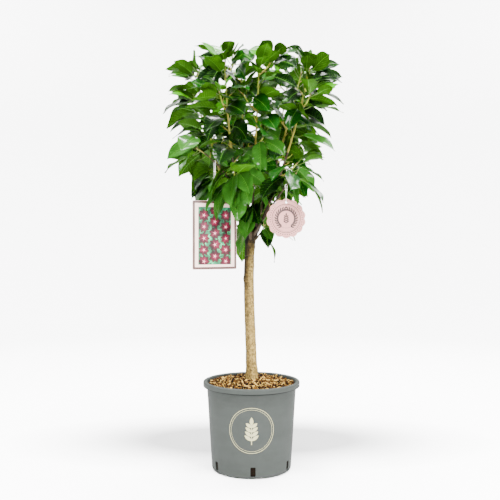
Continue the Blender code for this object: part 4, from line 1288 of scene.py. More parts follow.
def trunk_finish(settings):
    """Bark that runs from a speckled foot over a tan stem to the dark head, the change drawn out unevenly, with painted
    shade on the side away from the light and painted light on the side toward it.
    """
    material, tree, shader, place = node_setup("trunk_bark")
    bark, head = settings.bark_colour, settings.head_colour
    split = tree.nodes.new("ShaderNodeSeparateXYZ")
    tree.links.new(place, split.inputs["Vector"])
    wobble = span(tree, noise_of(tree, stretched(tree, place, (90.0, 90.0, 30.0)), 1.0, 3.0), -0.016, 0.016)
    uneven = tree.nodes.new("ShaderNodeMath")
    tree.links.new(split.outputs["Z"], uneven.inputs[0])
    tree.links.new(wobble, uneven.inputs[1])
    height = tree.nodes.new("ShaderNodeMapRange")
    height.inputs["From Min"].default_value = TRUNK_FOOT
    height.inputs["From Max"].default_value = TRUNK_TOP
    tree.links.new(uneven.outputs["Value"], height.inputs["Value"])
    tone = ramp(tree, height.outputs["Result"], (
        (0.0, shade(bark, 1.15)), (0.22, shade(bark, 1.10)), (0.60, bark), (0.76, shade(bark, 0.66)),
        (0.85, shade(bark, 0.32)), (0.90, head)))
    # Painted shade and light: the tone goes from dark to light by how far the surface faces the lit side
    side = tree.nodes.new("ShaderNodeVectorMath")
    side.operation = "DOT_PRODUCT"
    side.inputs[1].default_value = PAINTED_LIGHT_SIDE
    tree.links.new(tree.nodes.new("ShaderNodeNewGeometry").outputs["Normal"], side.inputs[0])
    facing_light = tree.nodes.new("ShaderNodeMapRange")
    facing_light.inputs["From Min"].default_value = -1.0
    tree.links.new(side.outputs["Value"], facing_light.inputs["Value"])
    upper = ramp(tree, height.outputs["Result"], PAINTED_SHADE_HEIGHTS)
    tone = multiplied(tree, tone, ramp(tree, facing_light.outputs["Result"], PAINTED_SHADE_TONES), upper)
    patches = noise_of(tree, stretched(tree, place, (150.0, 150.0, 110.0)), 1.5, 6.0, 0.72)
    bands = noise_of(tree, stretched(tree, place, (16.0, 16.0, 190.0)), 1.6, 5.0, 0.65)
    for pattern, low, high, weight in ((patches, 0.36, 1.50, 1.0), (bands, 0.80, 1.10, 0.8)):
        grey = ramp(tree, pattern, ((0.40, (low,) * 3), (0.50, (0.9,) * 3), (0.60, (high,) * 3)))
        tone = multiplied(tree, tone, grey, weight)
    tree.links.new(tone, shader.inputs["Base Color"])
    relief(tree, shader, bands, 0.0011, 0.8)
    relief(tree, shader, patches, 0.0010, 0.8)
    relief(tree, shader, noise_of(tree, place, 900.0, 3.0), 0.0004, 0.6)
    tree.links.new(span(tree, patches, 0.86, 0.62), shader.inputs["Roughness"])
    shader.inputs["Specular IOR Level"].default_value = 0.1
    return material


def trunk_tube():
    """The trunk's rings of relief from the bark chips up to its rounded top."""
    rows, sides = 240, 64
    points, faces = [], []
    for k in range(rows + 1):
        height = lerp(TRUNK_FOOT, TRUNK_TOP, k / rows)
        centre = trunk_centre(height)
        closing = min(1.0, math.sqrt(max(0.0, TRUNK_TOP - height) / 0.004 + 0.12))
        for j in range(sides):
            turn = math.tau * j / sides
            reach = (trunk_radius(height) + trunk_relief(turn, centre)) * closing
            points.append(centre + Vector((math.cos(turn), math.sin(turn), 0.0)) * reach)
    for k in range(rows):
        for j in range(sides):
            n = (j + 1) % sides
            faces.append((k * sides + j, k * sides + n, (k + 1) * sides + n, (k + 1) * sides + j))
    faces.append(tuple(range(sides))[::-1])
    faces.append(tuple(range(rows * sides, (rows + 1) * sides)))
    return points, faces


def scar(height, compass, wide, tall):
    """A low dark dome on the trunk where a side shoot was cut away."""
    turn = math.radians(compass)
    centre = trunk_centre(height)
    out = Vector((math.cos(turn), math.sin(turn), 0.0))
    side = UP.cross(out)
    seat = centre + out * (trunk_radius(height) + trunk_relief(turn, centre) - 0.0003)
    rings, sides = 4, 12
    points, faces = [seat + out * SCAR_RISE], []
    for k in range(1, rings + 1):
        share = k / rings
        for j in range(sides):
            around = math.tau * j / sides
            ragged = 1.0 + 0.12 * math.sin(3 * around + compass)
            lift = SCAR_RISE * (1.0 - share**2) - (0.0007 if k == rings else 0.0)
            flat = side * (wide * share * ragged * math.cos(around)) + UP * (tall * share * ragged * math.sin(around))
            points.append(seat + flat + out * lift)
    faces += [(0, 1 + j, 1 + (j + 1) % sides) for j in range(sides)]
    for k in range(rings - 1):
        for j in range(sides):
            n = (j + 1) % sides
            a, b = 1 + k * sides, 1 + (k + 1) * sides
            faces.append((a + j, b + j, b + n, a + n))
    return points, faces


def make_trunk(settings):
    """The trunk's relief, which replaces the plain solid, with its scars and the crack round its neck."""
    bark = Heap()
    bark.add(*trunk_tube())
    marks = Heap()
    for height, compass, wide, tall in TRUNK_SCARS:
        marks.add(*scar(height, compass, wide, tall))
    crack = []
    for k in range(72):
        turn = math.tau * k / 72
        height = TRUNK_RINGS[0][0] + 0.0008 * math.sin(3 * turn)
        centre = trunk_centre(height)
        reach = trunk_radius(height) + trunk_relief(turn, centre) + 0.0001
        crack.append(centre + Vector((math.cos(turn), math.sin(turn), 0.0)) * reach)
    marks.add(*sweep(crack, [0.00055] * len(crack), 6, closed=True))
    pieces = [bark.piece("trunk_bark", trunk_finish(settings)),
              marks.piece("trunk_scars", young_wood_finish("old_scar", shade(settings.head_colour, 1.1)))]
    for piece in pieces:
        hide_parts("trunk")


def knobbly(seed, bump, scale):
    """A relief for a limb's bark, for sweep."""
    def shape(_, turn, point):
        where = Vector((math.cos(turn), math.sin(turn), seed * 7.3)) * 1.6 + point * scale
        return bump * noise.noise(where)
    return shape


def make_boughs(settings):
    """Each bough from inside the trunk's head to its mass, with a thick collar and uneven bark."""
    heap = Heap()
    for limb in LIMBS.values():
        points, radii = limb_line(limb, 0.0, limb.bare + 2 * GAP, 0.0028)
        count = len(points) - 1
        thick = []
        for k, radius in enumerate(radii):
            along = limb.bare * k / count
            collar = 0.0011 * math.exp(-max(0.0, along - 0.014) / 0.012)
            node = 0.00045 * max(0.0, math.cos(along / 0.024 * math.tau + limb.seed)) ** 6
            thick.append(radius + collar + node)
        heap.add(*sweep(points, thick, 14, shape=knobbly(limb.seed, 0.0005, 120.0)))
    piece = heap.piece("boughs", bark_finish("bough_bark", settings.bough_colour, shade(settings.bough_colour, 0.4), 0.68, 60.0))
    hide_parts(*BOUGH_NODES)


def bud(root, along, size=1.0):
    """A small pointed bud, six sided, on a twig."""
    shares = (0.0, 0.25, 0.55, 0.85, 1.0)
    widths = (0.55, 1.0, 0.85, 0.35, 0.06)
    points = [root + along * (BUD_LENGTH * size * share) for share in shares]
    return sweep(points, [BUD_RADIUS * size * width for width in widths], 6)


def stalk_line(leaf):
    """A leaf stalk's curve, which sags a little from its root to the blade's base."""
    end = blade_point(leaf, 0.0)[0]
    sag = UP * (0.08 * leaf.stalk)
    return [leaf.root.lerp(end, k / 5) - sag * math.sin(math.pi * k / 5) for k in range(6)]


WOOD_STAGES = (("old", 0.40), ("mid", 0.72), ("young", 1.01))


def shoot_heaps():
    """The stems, side twigs, spurs and buds, in heaps by the age of their wood, and the leaf stalks."""
    heaps = {name: Heap() for name, _ in WOOD_STAGES}
    heaps["stalks"] = Heap()
    heaps["buds"] = Heap()
    for mass in CROWN:
        limb = mass.limb
        for number, (points, radii) in enumerate(mass.twigs):
            line = smooth_line(points, 0.0035)
            count = len(line) - 1
            if number == 0:
                reach = [limb.bare + limb.leafy * k / count for k in range(count + 1)]
                thick = [limb_radius(limb, along) for along in reach]
            else:
                thick = [lerp(radii[0], radii[-1], k / count) for k in range(count + 1)]
            for k in range(count + 1):
                pulse = max(0.0, math.cos(math.tau * (k * 0.0035 / LEAF_SPACING - NODE_SHARE)))
                thick[k] += 0.0004 * pulse**5
            low = 0
            for name, top in WOOD_STAGES:
                age = [lerp(0.12 if number == 0 else 0.45, 1.0, k / count) * lerp(0.6, 1.0, limb.youth) for k in range(count + 1)]
                high = max((k for k in range(count + 1) if age[k] <= top), default=0)
                if high > low:
                    shape = knobbly(limb.seed + number, 0.00022, 260.0)
                    heaps[name].add(*sweep(line[low:high + 1], thick[low:high + 1], 10, shape=shape))
                    low = high
            tip, along = walk(points, length_of(points))
            heaps["buds"].add(*bud(tip - along * 0.0015, along, 1.15))
        for where, tip in mass.spurs:
            line = [where.lerp(tip, k / 4) for k in range(5)]
            heaps["mid"].add(*sweep(line, [lerp(1.25, 0.95, k / 4) * FINE_RADIUS for k in range(5)], 7))
        for leaf in mass.leaves:
            line = stalk_line(leaf)
            widths = (1.35, 0.95, 0.82, 0.82, 0.90, 1.05)
            heaps["stalks"].add(*sweep(line, [STALK_RADIUS * width for width in widths], 6))
            out = pointing(leaf.heading, leaf.stalk_rise)
            heaps["buds"].add(*bud(leaf.root, (out + UP * 1.1).normalized(), 0.8))
    return heaps


def make_shoots(settings):
    """The wood of the masses: stems, twigs and spurs from old to young, their buds and the leaf stalks."""
    heaps = shoot_heaps()
    looks = {
        "old": young_wood_finish("old_shoot", settings.bough_colour),
        "mid": young_wood_finish("bronze_shoot", settings.bronze_colour),
        "young": young_wood_finish("green_shoot", settings.shoot_colour),
        "stalks": young_wood_finish("leaf_stalk", settings.stalk_colour),
        "buds": young_wood_finish("bud_scale", settings.bud_colour),
    }
    for name, heap in heaps.items():
        piece = heap.piece(f"shoots_{name}" if name not in ("stalks", "buds") else f"leaf_{name}", looks[name])
        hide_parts(*FOLIAGE_NODES)


def outline(share):
    """Half a blade's breadth as a share of its widest: oval below, drawn to a point above."""
    if share < BLADE_WIDEST:
        away = 1.0 - share / BLADE_WIDEST
        return BLADE_SLIM * math.sqrt(max(0.0, 1.0 - away * away)) ** 1.08
    away = (share - BLADE_WIDEST) / (1.0 - BLADE_WIDEST)
    return BLADE_SLIM * (1.0 - away**2.6) ** 1.5


@dataclass(frozen=True)
class Poise:
    """How one blade is held: its fold along the midrib, its margin's waves and its quilting."""

    fold: float
    wave: float
    waves: float
    phase: float
    quilt: float
    curl: float


def blade_at(leaf, poise, share, t):
    """A point of the blade's surface and its normal there. t runs from -1 to 1 across the blade."""
    centre, rise = blade_point(leaf, share)
    side, normal = leaf_frame(leaf, rise)
    half = 0.5 * leaf.width * outline(share)
    across = t * half
    away = abs(t)
    up = abs(across) * math.sin(poise.fold)
    up += poise.wave * away * away * math.sin(poise.waves * math.tau * share + poise.phase + (1.2 if t > 0 else 0.0))
    up -= poise.curl * half * away**4
    vein = VEIN_PAIRS * (share - VEIN_SWEEP * away - VEIN_START) / (VEIN_END - VEIN_START)
    window = min(1.0, 5.0 * away) * min(1.0, 6.0 * (1.0 - away)) * min(1.0, 8.0 * share) * min(1.0, 4.0 * (1.0 - share))
    up -= poise.quilt * window * (0.5 + 0.5 * math.cos(math.tau * vein))
    return centre + side * (across * math.cos(poise.fold)) + normal * up, normal


def blade_faces(leaf, poise, tooth):
    """A blade's top and underside as two grids that share their toothed edge."""
    top, under, faces = [], [], []
    columns = 2 * BLADE_HALF_COLUMNS + 1
    for i in range(BLADE_ROWS + 1):
        share = (i / BLADE_ROWS) ** 0.92
        for j in range(columns):
            t = (j - BLADE_HALF_COLUMNS) / BLADE_HALF_COLUMNS
            t = math.copysign(abs(t) ** 0.9, t)
            at, normal = blade_at(leaf, poise, share, t)
            if j in (0, columns - 1):
                if 0 < i < BLADE_ROWS:
                    side = math.copysign(tooth if i % 2 else -0.4 * tooth, t)
                    at = at + leaf_frame(leaf, blade_point(leaf, share)[1])[0] * side
                thick = 0.0
            else:
                thick = 0.5 * BLADE_THICKNESS
            top.append(at + normal * thick)
            under.append(at - normal * thick)
    for i in range(BLADE_ROWS):
        for j in range(columns - 1):
            a = i * columns + j
            faces.append((a, a + columns, a + columns + 1, a + 1))
    return top, under, faces


def strip(places, widths):
    """A flat strip along places, each a point with the directions of its side and its normal."""
    points = []
    for (at, side, normal), width in zip(places, widths):
        points += [at + side * width, at + normal * (0.5 * width), at - side * width]
    faces = []
    for k in range(len(places) - 1):
        for j in (0, 1):
            faces.append((3 * k + j, 3 * k + j + 1, 3 * k + 4 + j, 3 * k + 3 + j))
    return points, faces


def blade_ribs(leaf, poise, sign):
    """The midrib and the side veins of one face of a blade, as thin raised strips."""
    heaps = Heap()
    lift = sign * (0.5 * BLADE_THICKNESS + RIB_HEIGHT)
    places, widths = [], []
    for k in range(13):
        share = 0.97 * k / 12
        at, normal = blade_at(leaf, poise, share, 0.0)
        side = leaf_frame(leaf, blade_point(leaf, share)[1])[0]
        places.append((at + normal * lift, side * sign, normal * sign))
        widths.append(lerp(0.00085 if sign > 0 else 0.0011, 0.0002, share))
    heaps.add(*strip(places, widths))
    for pair in range(VEIN_PAIRS):
        start = lerp(VEIN_START, VEIN_END, pair / VEIN_PAIRS)
        for way in (-1.0, 1.0):
            places = []
            for k in range(VEIN_STEPS):
                reach = VEIN_REACH * k / (VEIN_STEPS - 1)
                at, normal = blade_at(leaf, poise, min(0.99, start + VEIN_SWEEP * reach), way * reach)
                places.append((at + normal * lift, normal))
            strokes = []
            for k, (at, normal) in enumerate(places):
                ahead = places[min(k + 1, VEIN_STEPS - 1)][0] - places[max(k - 1, 0)][0]
                side = ahead.cross(normal).normalized() * (-sign)
                strokes.append((at, side, normal * sign))
            heaps.add(*strip(strokes, [lerp(0.00032, 0.00012, k / (VEIN_STEPS - 1)) for k in range(VEIN_STEPS)]))
    return heaps


def room_for(base, points):
    """How far a blade is drawn in toward its base, along each axis, to stay in the CAD model's box."""
    scale = []
    for axis, (low, high) in enumerate(zip(*CAD_BOX)):
        room = 1.0
        for point in points:
            reach = point[axis] - base[axis]
            limit = (high if reach > 0.0 else low) - base[axis]
            if abs(reach) > abs(limit):
                room = min(room, limit / reach)
        scale.append(room)
    return Vector(scale)


# The leaf tints, and how often the first three are dealt out low and high in the crown; low down the brighter greens
# come more often, as painted light on the lower crown
LEAF_TINTS = ("deep", "mid", "bright", "young")
PAINTED_LIGHT_TINTS = (0.14, 0.36, 0.50)
HIGH_TINTS = (0.48, 0.35, 0.17)
PAINTED_LIGHT_HEIGHT = 0.78


def make_leaves(settings):
    """All the blades: tops in four greens dealt out by spray, brighter more often low down as painted light, paler
    undersides, and both faces' veins.
    """
    dice = random.Random(907)
    tops = {tint: Heap() for tint in LEAF_TINTS}
    unders = {"pale": Heap(), "fresh": Heap()}
    ribs = {"top": Heap(), "under": Heap()}
    for mass in CROWN:
        tint = "deep"
        for number, leaf in enumerate(mass.leaves):
            if number % 2 == 0:
                # Painted light: below this height the brighter greens, and with them the fresher undersides, are dealt
                # out more often
                weights = PAINTED_LIGHT_TINTS if leaf.root.z < PAINTED_LIGHT_HEIGHT else HIGH_TINTS
                tint = dice.choices(LEAF_TINTS[:3], weights)[0]
            own = "young" if leaf.youth > 0.86 and dice.random() < 0.4 else tint
            poise = Poise(
                math.radians(dice.uniform(*settings.fold_range)), leaf.width * dice.uniform(0.015, 0.055),
                dice.uniform(1.2, 2.4), dice.uniform(0.0, math.tau), settings.quilt_depth * leaf.blade,
                dice.uniform(0.02, 0.16))
            top, under, faces = blade_faces(leaf, poise, settings.tooth_depth)
            upper, lower = blade_ribs(leaf, poise, 1.0), blade_ribs(leaf, poise, -1.0)
            base = blade_point(leaf, 0.0)[0]
            room = room_for(base, top + under + upper.points + lower.points)
            for heap, points, sheet in (
                    (tops[own], top, [face[::-1] for face in faces]),
                    (unders["fresh" if own in ("young", "bright") else "pale"], under, faces),
                    (ribs["top"], upper.points, upper.faces), (ribs["under"], lower.points, lower.faces)):
                heap.add([base + (point - base) * room for point in points], sheet)
    colours = {"deep": settings.leaf_deep, "mid": settings.leaf_mid, "bright": settings.leaf_bright,
               "young": settings.leaf_young}
    pieces = [heap.piece(f"leaf_tops_{tint}", leaf_finish(f"leaf_{tint}", colours[tint], 0.36, 0.22))
              for tint, heap in tops.items()]
    pale = leaf_finish("leaf_under_pale", settings.under_colour, 0.52, 0.0)
    fresh = leaf_finish("leaf_under_fresh", shade(settings.under_colour, 1.25), 0.50, 0.0)
    pieces.append(unders["pale"].piece("leaf_unders_pale", pale))
    pieces.append(unders["fresh"].piece("leaf_unders_fresh", fresh))
    pieces.append(ribs["top"].piece("leaf_veins_top", young_wood_finish("leaf_vein", settings.vein_colour)))
    pieces.append(ribs["under"].piece("leaf_veins_under", young_wood_finish("leaf_vein_under", shade(settings.vein_colour, 1.1))))
    for piece in pieces:
        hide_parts(*FOLIAGE_NODES)


def hanger_matrix(name):
    """From a tag's own plane, x across and z up from its hole with -y in front, to the frame."""
    hanger = HANGERS[name]
    return Matrix.Translation(hanger_place(hanger)[1]) @ Matrix.Rotation(math.radians(hanger.facing + 90.0), 4, "Z")


def plate(name, loops, low, high, matrix, material, rounding=0.0):
    """A flat shape with holes in a tag's plane, between two depths."""
    curve = bpy.data.curves.new(name, "CURVE")
    curve.dimensions = "2D"
    curve.fill_mode = "BOTH"
    curve.extrude = 0.5 * (high - low) - rounding
    curve.bevel_depth = rounding
    curve.bevel_resolution = 2
    curve.offset = -rounding
    for corners in loops:
        spline = curve.splines.new("POLY")
        spline.points.add(len(corners) - 1)
        spline.use_cyclic_u = True
        for knot, (across, up) in zip(spline.points, corners):
            knot.co = (across, up, 0.0, 1.0)
    obj = bpy.data.objects.new(name, curve)
    bpy.context.scene.collection.objects.link(obj)
    obj.matrix_world = matrix @ Matrix.Translation((0.0, -0.5 * (low + high), 0.0)) @ Matrix.Rotation(math.pi / 2, 4, "X")
    mesh = baked(obj)
    mesh.shade_smooth()
    mesh.set_sharp_from_angle(angle=math.radians(40))
    return new_piece(name, mesh, material)


def rounded(left, right, low, top, corner, steps=6):
    """A rectangle's outline with rounded corners."""
    middles = ((right, top, 0), (left, top, 90), (left, low, 180), (right, low, 270))
    inward = {0: (-corner, -corner), 90: (corner, -corner), 180: (corner, corner), 270: (-corner, corner)}
    points = []
    for x, z, turn in middles:
        shift = inward[turn]
        points += arc((x + shift[0], z + shift[1]), corner, turn, turn + 90, steps)
    return points


def ring_loop(radius, steps=48, middle=(0.0, 0.0)):
    return arc(middle, radius, 0, 360, steps)[:-1]


CARD_BORDER = 0.0062
PICTURE_WIDTH = 0.086
PICTURE_TOP = -0.0055
PICTURE_HEIGHT = 0.138
BLOSSOM_COLUMNS = 3
BLOSSOM_ROWS = 5
OUTER_PETALS = 8
INNER_PETALS = 5


def blossom(heaps, layers, size, turn):
    """A double flower with a pale eye, on four leaves. layers lays out each layer of the print."""
    for k in range(4):
        heading = turn + math.tau * k / 4
        heaps["leaf"].add(*flat_leaf((0.0, 0.0), heading, 1.42 * size, 0.46 * size, layers(0)))
    for k in range(OUTER_PETALS):
        heading = turn + math.tau * k / OUTER_PETALS
        heaps["petal"].add(*flat_leaf((0.0, 0.0), heading, 1.02 * size, 0.56 * size, layers(1)))
    for k in range(INNER_PETALS):
        heading = turn + math.tau * (k + 0.3) / INNER_PETALS
        heaps["bright"].add(*flat_leaf((0.0, 0.0), heading, 0.72 * size, 0.46 * size, layers(2)))
        heaps["blush"].add(*flat_leaf((0.0, 0.0), heading, 0.36 * size, 0.12 * size, layers(3)))
    heaps["eye"].add(*flat_ring(0.06 * size, 0.12 * size, 16, layers(4)))


def make_card(settings):
    """The picture card: a board, a dark border, and a green panel strewn with crimson blossoms."""
    matrix = hanger_matrix("card")
    half = 0.5 * CARD_WIDTH
    top, low = CARD_HOLE_DROP, CARD_HOLE_DROP - CARD_HEIGHT
    face = 0.5 * CARD_THICKNESS
    hole = ring_loop(HOLE_RADIUS)
    board = plate("card_board", [rounded(-half, half, low, top, CARD_CORNER), hole], -face, face, matrix,
                  paper_finish("card_stock", settings.card_colour, 0.45), 0.0002)
    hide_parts("hang_card")
    edge = 0.0006
    outer = rounded(-half + edge, half - edge, low + edge, top - edge, CARD_CORNER)
    inset = CARD_BORDER
    inner = rounded(-half + inset, half - inset, low + inset, top - inset, 0.5 * CARD_CORNER)
    border = plate("card_border", [outer, inner], face, face + PRINT_HEIGHT, matrix,
                   paper_finish("card_border", settings.border_colour, 0.4))
    picture_low = PICTURE_TOP - PICTURE_HEIGHT
    right = 0.5 * PICTURE_WIDTH
    panel = plate("card_panel", [rounded(-right, right, picture_low, PICTURE_TOP, 0.0015)], face,
                  face + PRINT_HEIGHT, matrix, painted_finish("card_green", settings.panel_colour))
    heaps = {name: Heap() for name in ("leaf", "petal", "bright", "blush", "eye")}
    cell = PICTURE_WIDTH / BLOSSOM_COLUMNS
    rise = PICTURE_HEIGHT / BLOSSOM_ROWS
    dice = random.Random(5)
    for row in range(BLOSSOM_ROWS):
        for column in range(BLOSSOM_COLUMNS):
            drop = 0.25 if column % 2 else -0.25
            x = -right + cell * (column + 0.5)
            z = picture_low + rise * (row + 0.5 + drop * 0.9)

            def layers(layer, x=x, z=z):
                place = flat_place(matrix, 0.0, 0.0, face + (1.4 + 0.4 * layer) * PRINT_HEIGHT)
                return lambda across, up: place(
                    max(-right, min(right, x + across)), max(picture_low, min(PICTURE_TOP, z + up)))

            blossom(heaps, layers, 0.5 * cell * dice.uniform(1.02, 1.16), dice.uniform(0.0, math.tau))
    finishes = {
        "leaf": painted_finish("card_leaf", shade(settings.panel_colour, 3.2)),
        "petal": painted_finish("card_crimson_deep", shade(settings.crimson_colour, 0.42)),
        "bright": painted_finish("card_crimson", settings.crimson_colour),
        "blush": paper_finish("card_blush", settings.blush_colour, 0.35, 0.15),
        "eye": paper_finish("card_light", settings.card_colour, 0.35),
    }
    prints = [heap.piece(f"card_{name}", finishes[name]) for name, heap in heaps.items()]


def flat_place(matrix, x, z, depth):
    """A function that lays print on a tag's face round a point of it."""
    return lambda across, up: matrix @ Vector((x + across, -depth, z + up))


def tag_outline(shrink=0.0):
    """The round tag's even scallops."""
    middle = TAG_HOLE_DROP - TAG_RADIUS
    points = []
    steps = 12 * TAG_SCALLOPS
    for k in range(steps):
        turn = math.tau * k / steps
        reach = TAG_RADIUS - TAG_SCALLOP - shrink + TAG_SCALLOP * abs(math.cos(0.5 * TAG_SCALLOPS * turn))
        points.append((reach * math.sin(turn), middle + reach * math.cos(turn)))
    return points


WREATH_RADIUS = 0.0225
WREATH_LEAVES = 11


def make_tag(settings):
    """The round tag: a scalloped board with rings, a circle of dots, and a wreath round a sprig."""
    matrix = hanger_matrix("tag")
    face = 0.5 * TAG_THICKNESS
    board = plate("tag_board", [tag_outline(), ring_loop(HOLE_RADIUS)], -face, face, matrix,
                  paper_finish("tag_stock", settings.tag_colour, 0.6), 0.0003)
    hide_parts("hang_tag")
    ink = paper_finish("tag_ink", settings.ink_colour, 0.5)
    heap = Heap()
    middle = TAG_HOLE_DROP - TAG_RADIUS
    place = flat_place(matrix, 0.0, middle, face + PRINT_HEIGHT)
    for radius, width in ((0.0335, 0.0014), (0.0306, 0.0006), (0.0422, 0.0006)):
        heap.add(*flat_ring(radius, width, 96, place))
    dots = 44
    for k in range(dots):
        turn = math.tau * (k + 0.5) / dots
        across, up = 0.0378 * math.sin(turn), 0.0378 * math.cos(turn)
        if up + middle < -3.0 * HOLE_RADIUS:
            heap.add(*flat_ring(0.0007, 0.0014, 10, flat_place(matrix, across, middle + up, face + PRINT_HEIGHT)))
    for k in range(WREATH_LEAVES):
        turn = math.pi * lerp(0.16, 0.93, k / (WREATH_LEAVES - 1))
        for side in (-1.0, 1.0):
            root = (side * WREATH_RADIUS * math.sin(turn), -WREATH_RADIUS * math.cos(turn))
            ahead = side * turn
            for lean in (0.62, -0.62):
                heap.add(*flat_leaf(root, ahead + (0.0 if side > 0 else math.pi) + lean, 0.0088, 0.0038, place))
    heap.add(*flat_ring(WREATH_RADIUS, 0.0006, 72, place))
    sprig(heap, 0.0145, place)
    print_piece = heap.piece("tag_print", ink)


THREAD_RADIUS = 0.00042
THREAD_OFFSET = 0.00040
THREAD_PITCH = 0.0032


def make_strings(settings):
    """The two loops of string, each of two threads twisted together, with a knot under the limb."""
    material = thread_finish(settings.string_colour)
    for name, hanger in HANGERS.items():
        path = smooth_line(string_loop(hanger), 0.0007, closed=True)
        around = len(path)
        turns = max(1, round(length_of(path + path[:1]) / THREAD_PITCH))
        heap = Heap()
        for strand in (0.0, math.pi):
            line = []
            side = None
            for k in range(around):
                along = (path[(k + 1) % around] - path[k - 1]).normalized()
                side = along.orthogonal().normalized() if side is None else side
                side = (side - along * side.dot(along)).normalized()
                turn = strand + math.tau * turns * k / around
                out = side * math.cos(turn) + along.cross(side) * math.sin(turn)
                line.append(path[k] + out * THREAD_OFFSET)
            heap.add(*sweep(line, [THREAD_RADIUS] * around, 6, closed=True))
        over, hole = hanger_place(hanger)
        knot = over.lerp(hole, 0.22)
        coil = []
        for k in range(49):
            turn = math.tau * 3 * k / 48
            reach = 0.0022 * math.sin(math.pi * (k + 2) / 52) + 0.0006
            coil.append(knot + Vector((math.cos(turn) * reach, math.sin(turn) * reach, 0.0026 * (k / 48 - 0.5))))
        heap.add(*sweep(coil, [1.2 * THREAD_RADIUS] * len(coil), 6))
        piece = heap.piece(f"{name}_threads", material)
        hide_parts(f"{name}_string")


def area_light(name, place, target, size, power, colour=(1.0, 1.0, 1.0)):
    light = bpy.data.lights.new(name, "AREA")
    light.shape = "RECTANGLE"
    light.size, light.size_y = size
    light.energy = power
    light.color = colour
    obj = bpy.data.objects.new(name, light)
    obj.location = place
    obj.rotation_euler = (Vector(target) - Vector(place)).to_track_quat("-Z", "Y").to_euler()
    bpy.context.scene.collection.objects.link(obj)
    return obj


# The camera stands a step in front of the pot, level with the middle of the plant and turned down a hair
CAMERA_PLACE = (-0.0037, -1.75, 0.5525)
CAMERA_PITCH = math.radians(-0.407)
CAMERA_LENS = 50.65
BACKDROP_LIGHTS = 4
FLOOR_HEIGHT = -0.0002
FLOOR_RADIUS = 1.4
SWEEP_START = 2.6
SWEEP_RADIUS = 1.6
WALL_TOP = 3.4

# The soft shade on the floor behind the pot: its middle, its reach to each side and in depth, and its tones
SHADE_MIDDLE = (0.0, 0.245)
SHADE_REACH = (0.70, 0.31)
SHADE_TONES = ((0.0, (1.0, 1.0, 1.0)), (0.25, (0.80, 0.80, 0.80)), (0.60, (0.30, 0.30, 0.30)))


def make_stage(settings):
    """A pale floor that sweeps up all round, soft lights and the camera."""
    paper, tree, shader, place = node_setup("pale_paper")
    tone = noise_of(tree, place, 3.0, 2.0)
    colour = settings.floor_colour
    paper_colour = ramp(tree, tone, ((0.3, shade(colour, 0.99)), (0.7, colour)))
    # The shade is in the paper's own colour, because the lights from all round throw hardly any
    mapping = tree.nodes.new("ShaderNodeMapping")
    mapping.inputs["Location"].default_value = [-a / b for a, b in zip(SHADE_MIDDLE, SHADE_REACH)] + [0.0]
    mapping.inputs["Scale"].default_value = [1.0 / b for b in SHADE_REACH] + [0.0]
    tree.links.new(place, mapping.inputs["Vector"])
    fade = tree.nodes.new("ShaderNodeTexGradient")
    fade.gradient_type = "SPHERICAL"
    tree.links.new(mapping.outputs["Vector"], fade.inputs["Vector"])
    shaded = multiplied(tree, paper_colour, ramp(tree, fade.outputs["Fac"], SHADE_TONES), 1.0)
    tree.links.new(shaded, shader.inputs["Base Color"])
    shader.inputs["Roughness"].default_value = 0.9
    shader.inputs["Specular IOR Level"].default_value = 0.1
    flat = [(0.0, FLOOR_HEIGHT), (0.2, FLOOR_HEIGHT), (0.6, FLOOR_HEIGHT), (FLOOR_RADIUS, FLOOR_HEIGHT)]
    sweep_up = arc((SWEEP_START, SWEEP_RADIUS + FLOOR_HEIGHT), SWEEP_RADIUS, -90, 0, 12)
    wall = [flat[-1], *sweep_up, (SWEEP_START + SWEEP_RADIUS, WALL_TOP)]
    for name, profile in (("floor", flat), ("backdrop", wall)):
        mesh = turned(name, profile, 96)
        mesh.shade_smooth()
        mesh.materials.clear()
        mesh.materials.append(paper)
        stage = bpy.data.objects.new(name, mesh)
        bpy.context.scene.collection.objects.link(stage)
    # The backdrop is far off on a real set, so it throws no light of its own back on the plant
    stage.visible_diffuse = False
    stage.visible_glossy = False
    middle = (0.0, 0.0, 0.65)
    key = settings.key_power
    area_light("key_left", (-0.4, -2.1, 0.95), middle, (0.5, 0.7), 0.62 * key)
    area_light("key_right", (1.3, -1.7, 1.3), middle, (0.45, 0.6), 1.05 * key)
    area_light("top", (0.0, -0.4, 2.6), middle, (1.2, 1.0), 1.4 * key).visible_glossy = False
    area_light("behind_left", (-1.3, 1.6, 2.0), middle, (0.6, 0.9), 0.2 * key)
    area_light("behind_right", (1.3, 1.6, 2.0), middle, (0.6, 0.9), 0.6 * key)
    for turn in range(BACKDROP_LIGHTS):
        way = pointing(math.tau * (turn + 0.5) / BACKDROP_LIGHTS, 0.0)
        area_light(f"backdrop_{turn}", way * 1.6 + UP * 3.2, way * 4.0 + UP * 0.6, (1.6, 1.6), settings.backdrop_power)
    world = bpy.data.worlds.new("studio")
    world.use_nodes = True
    background = world.node_tree.nodes["Background"]
    background.inputs["Color"].default_value = (1.0, 1.0, 1.0, 1.0)
    background.inputs["Strength"].default_value = settings.ambient
    world.cycles_visibility.glossy = False
    bpy.context.scene.world = world
    camera = bpy.data.cameras.new("camera")
    camera.lens = CAMERA_LENS
    holder = bpy.data.objects.new("camera", camera)
    holder.location = CAMERA_PLACE
    holder.rotation_euler = (math.pi / 2 + CAMERA_PITCH, 0.0, 0.0)
    bpy.context.scene.collection.objects.link(holder)
    bpy.context.scene.camera = holder


def colour_prop(label, about, default):
    return bpy.props.FloatVectorProperty(name=label, description=about, default=default, size=3, min=0.0, max=1.0,
                                         subtype="COLOR")


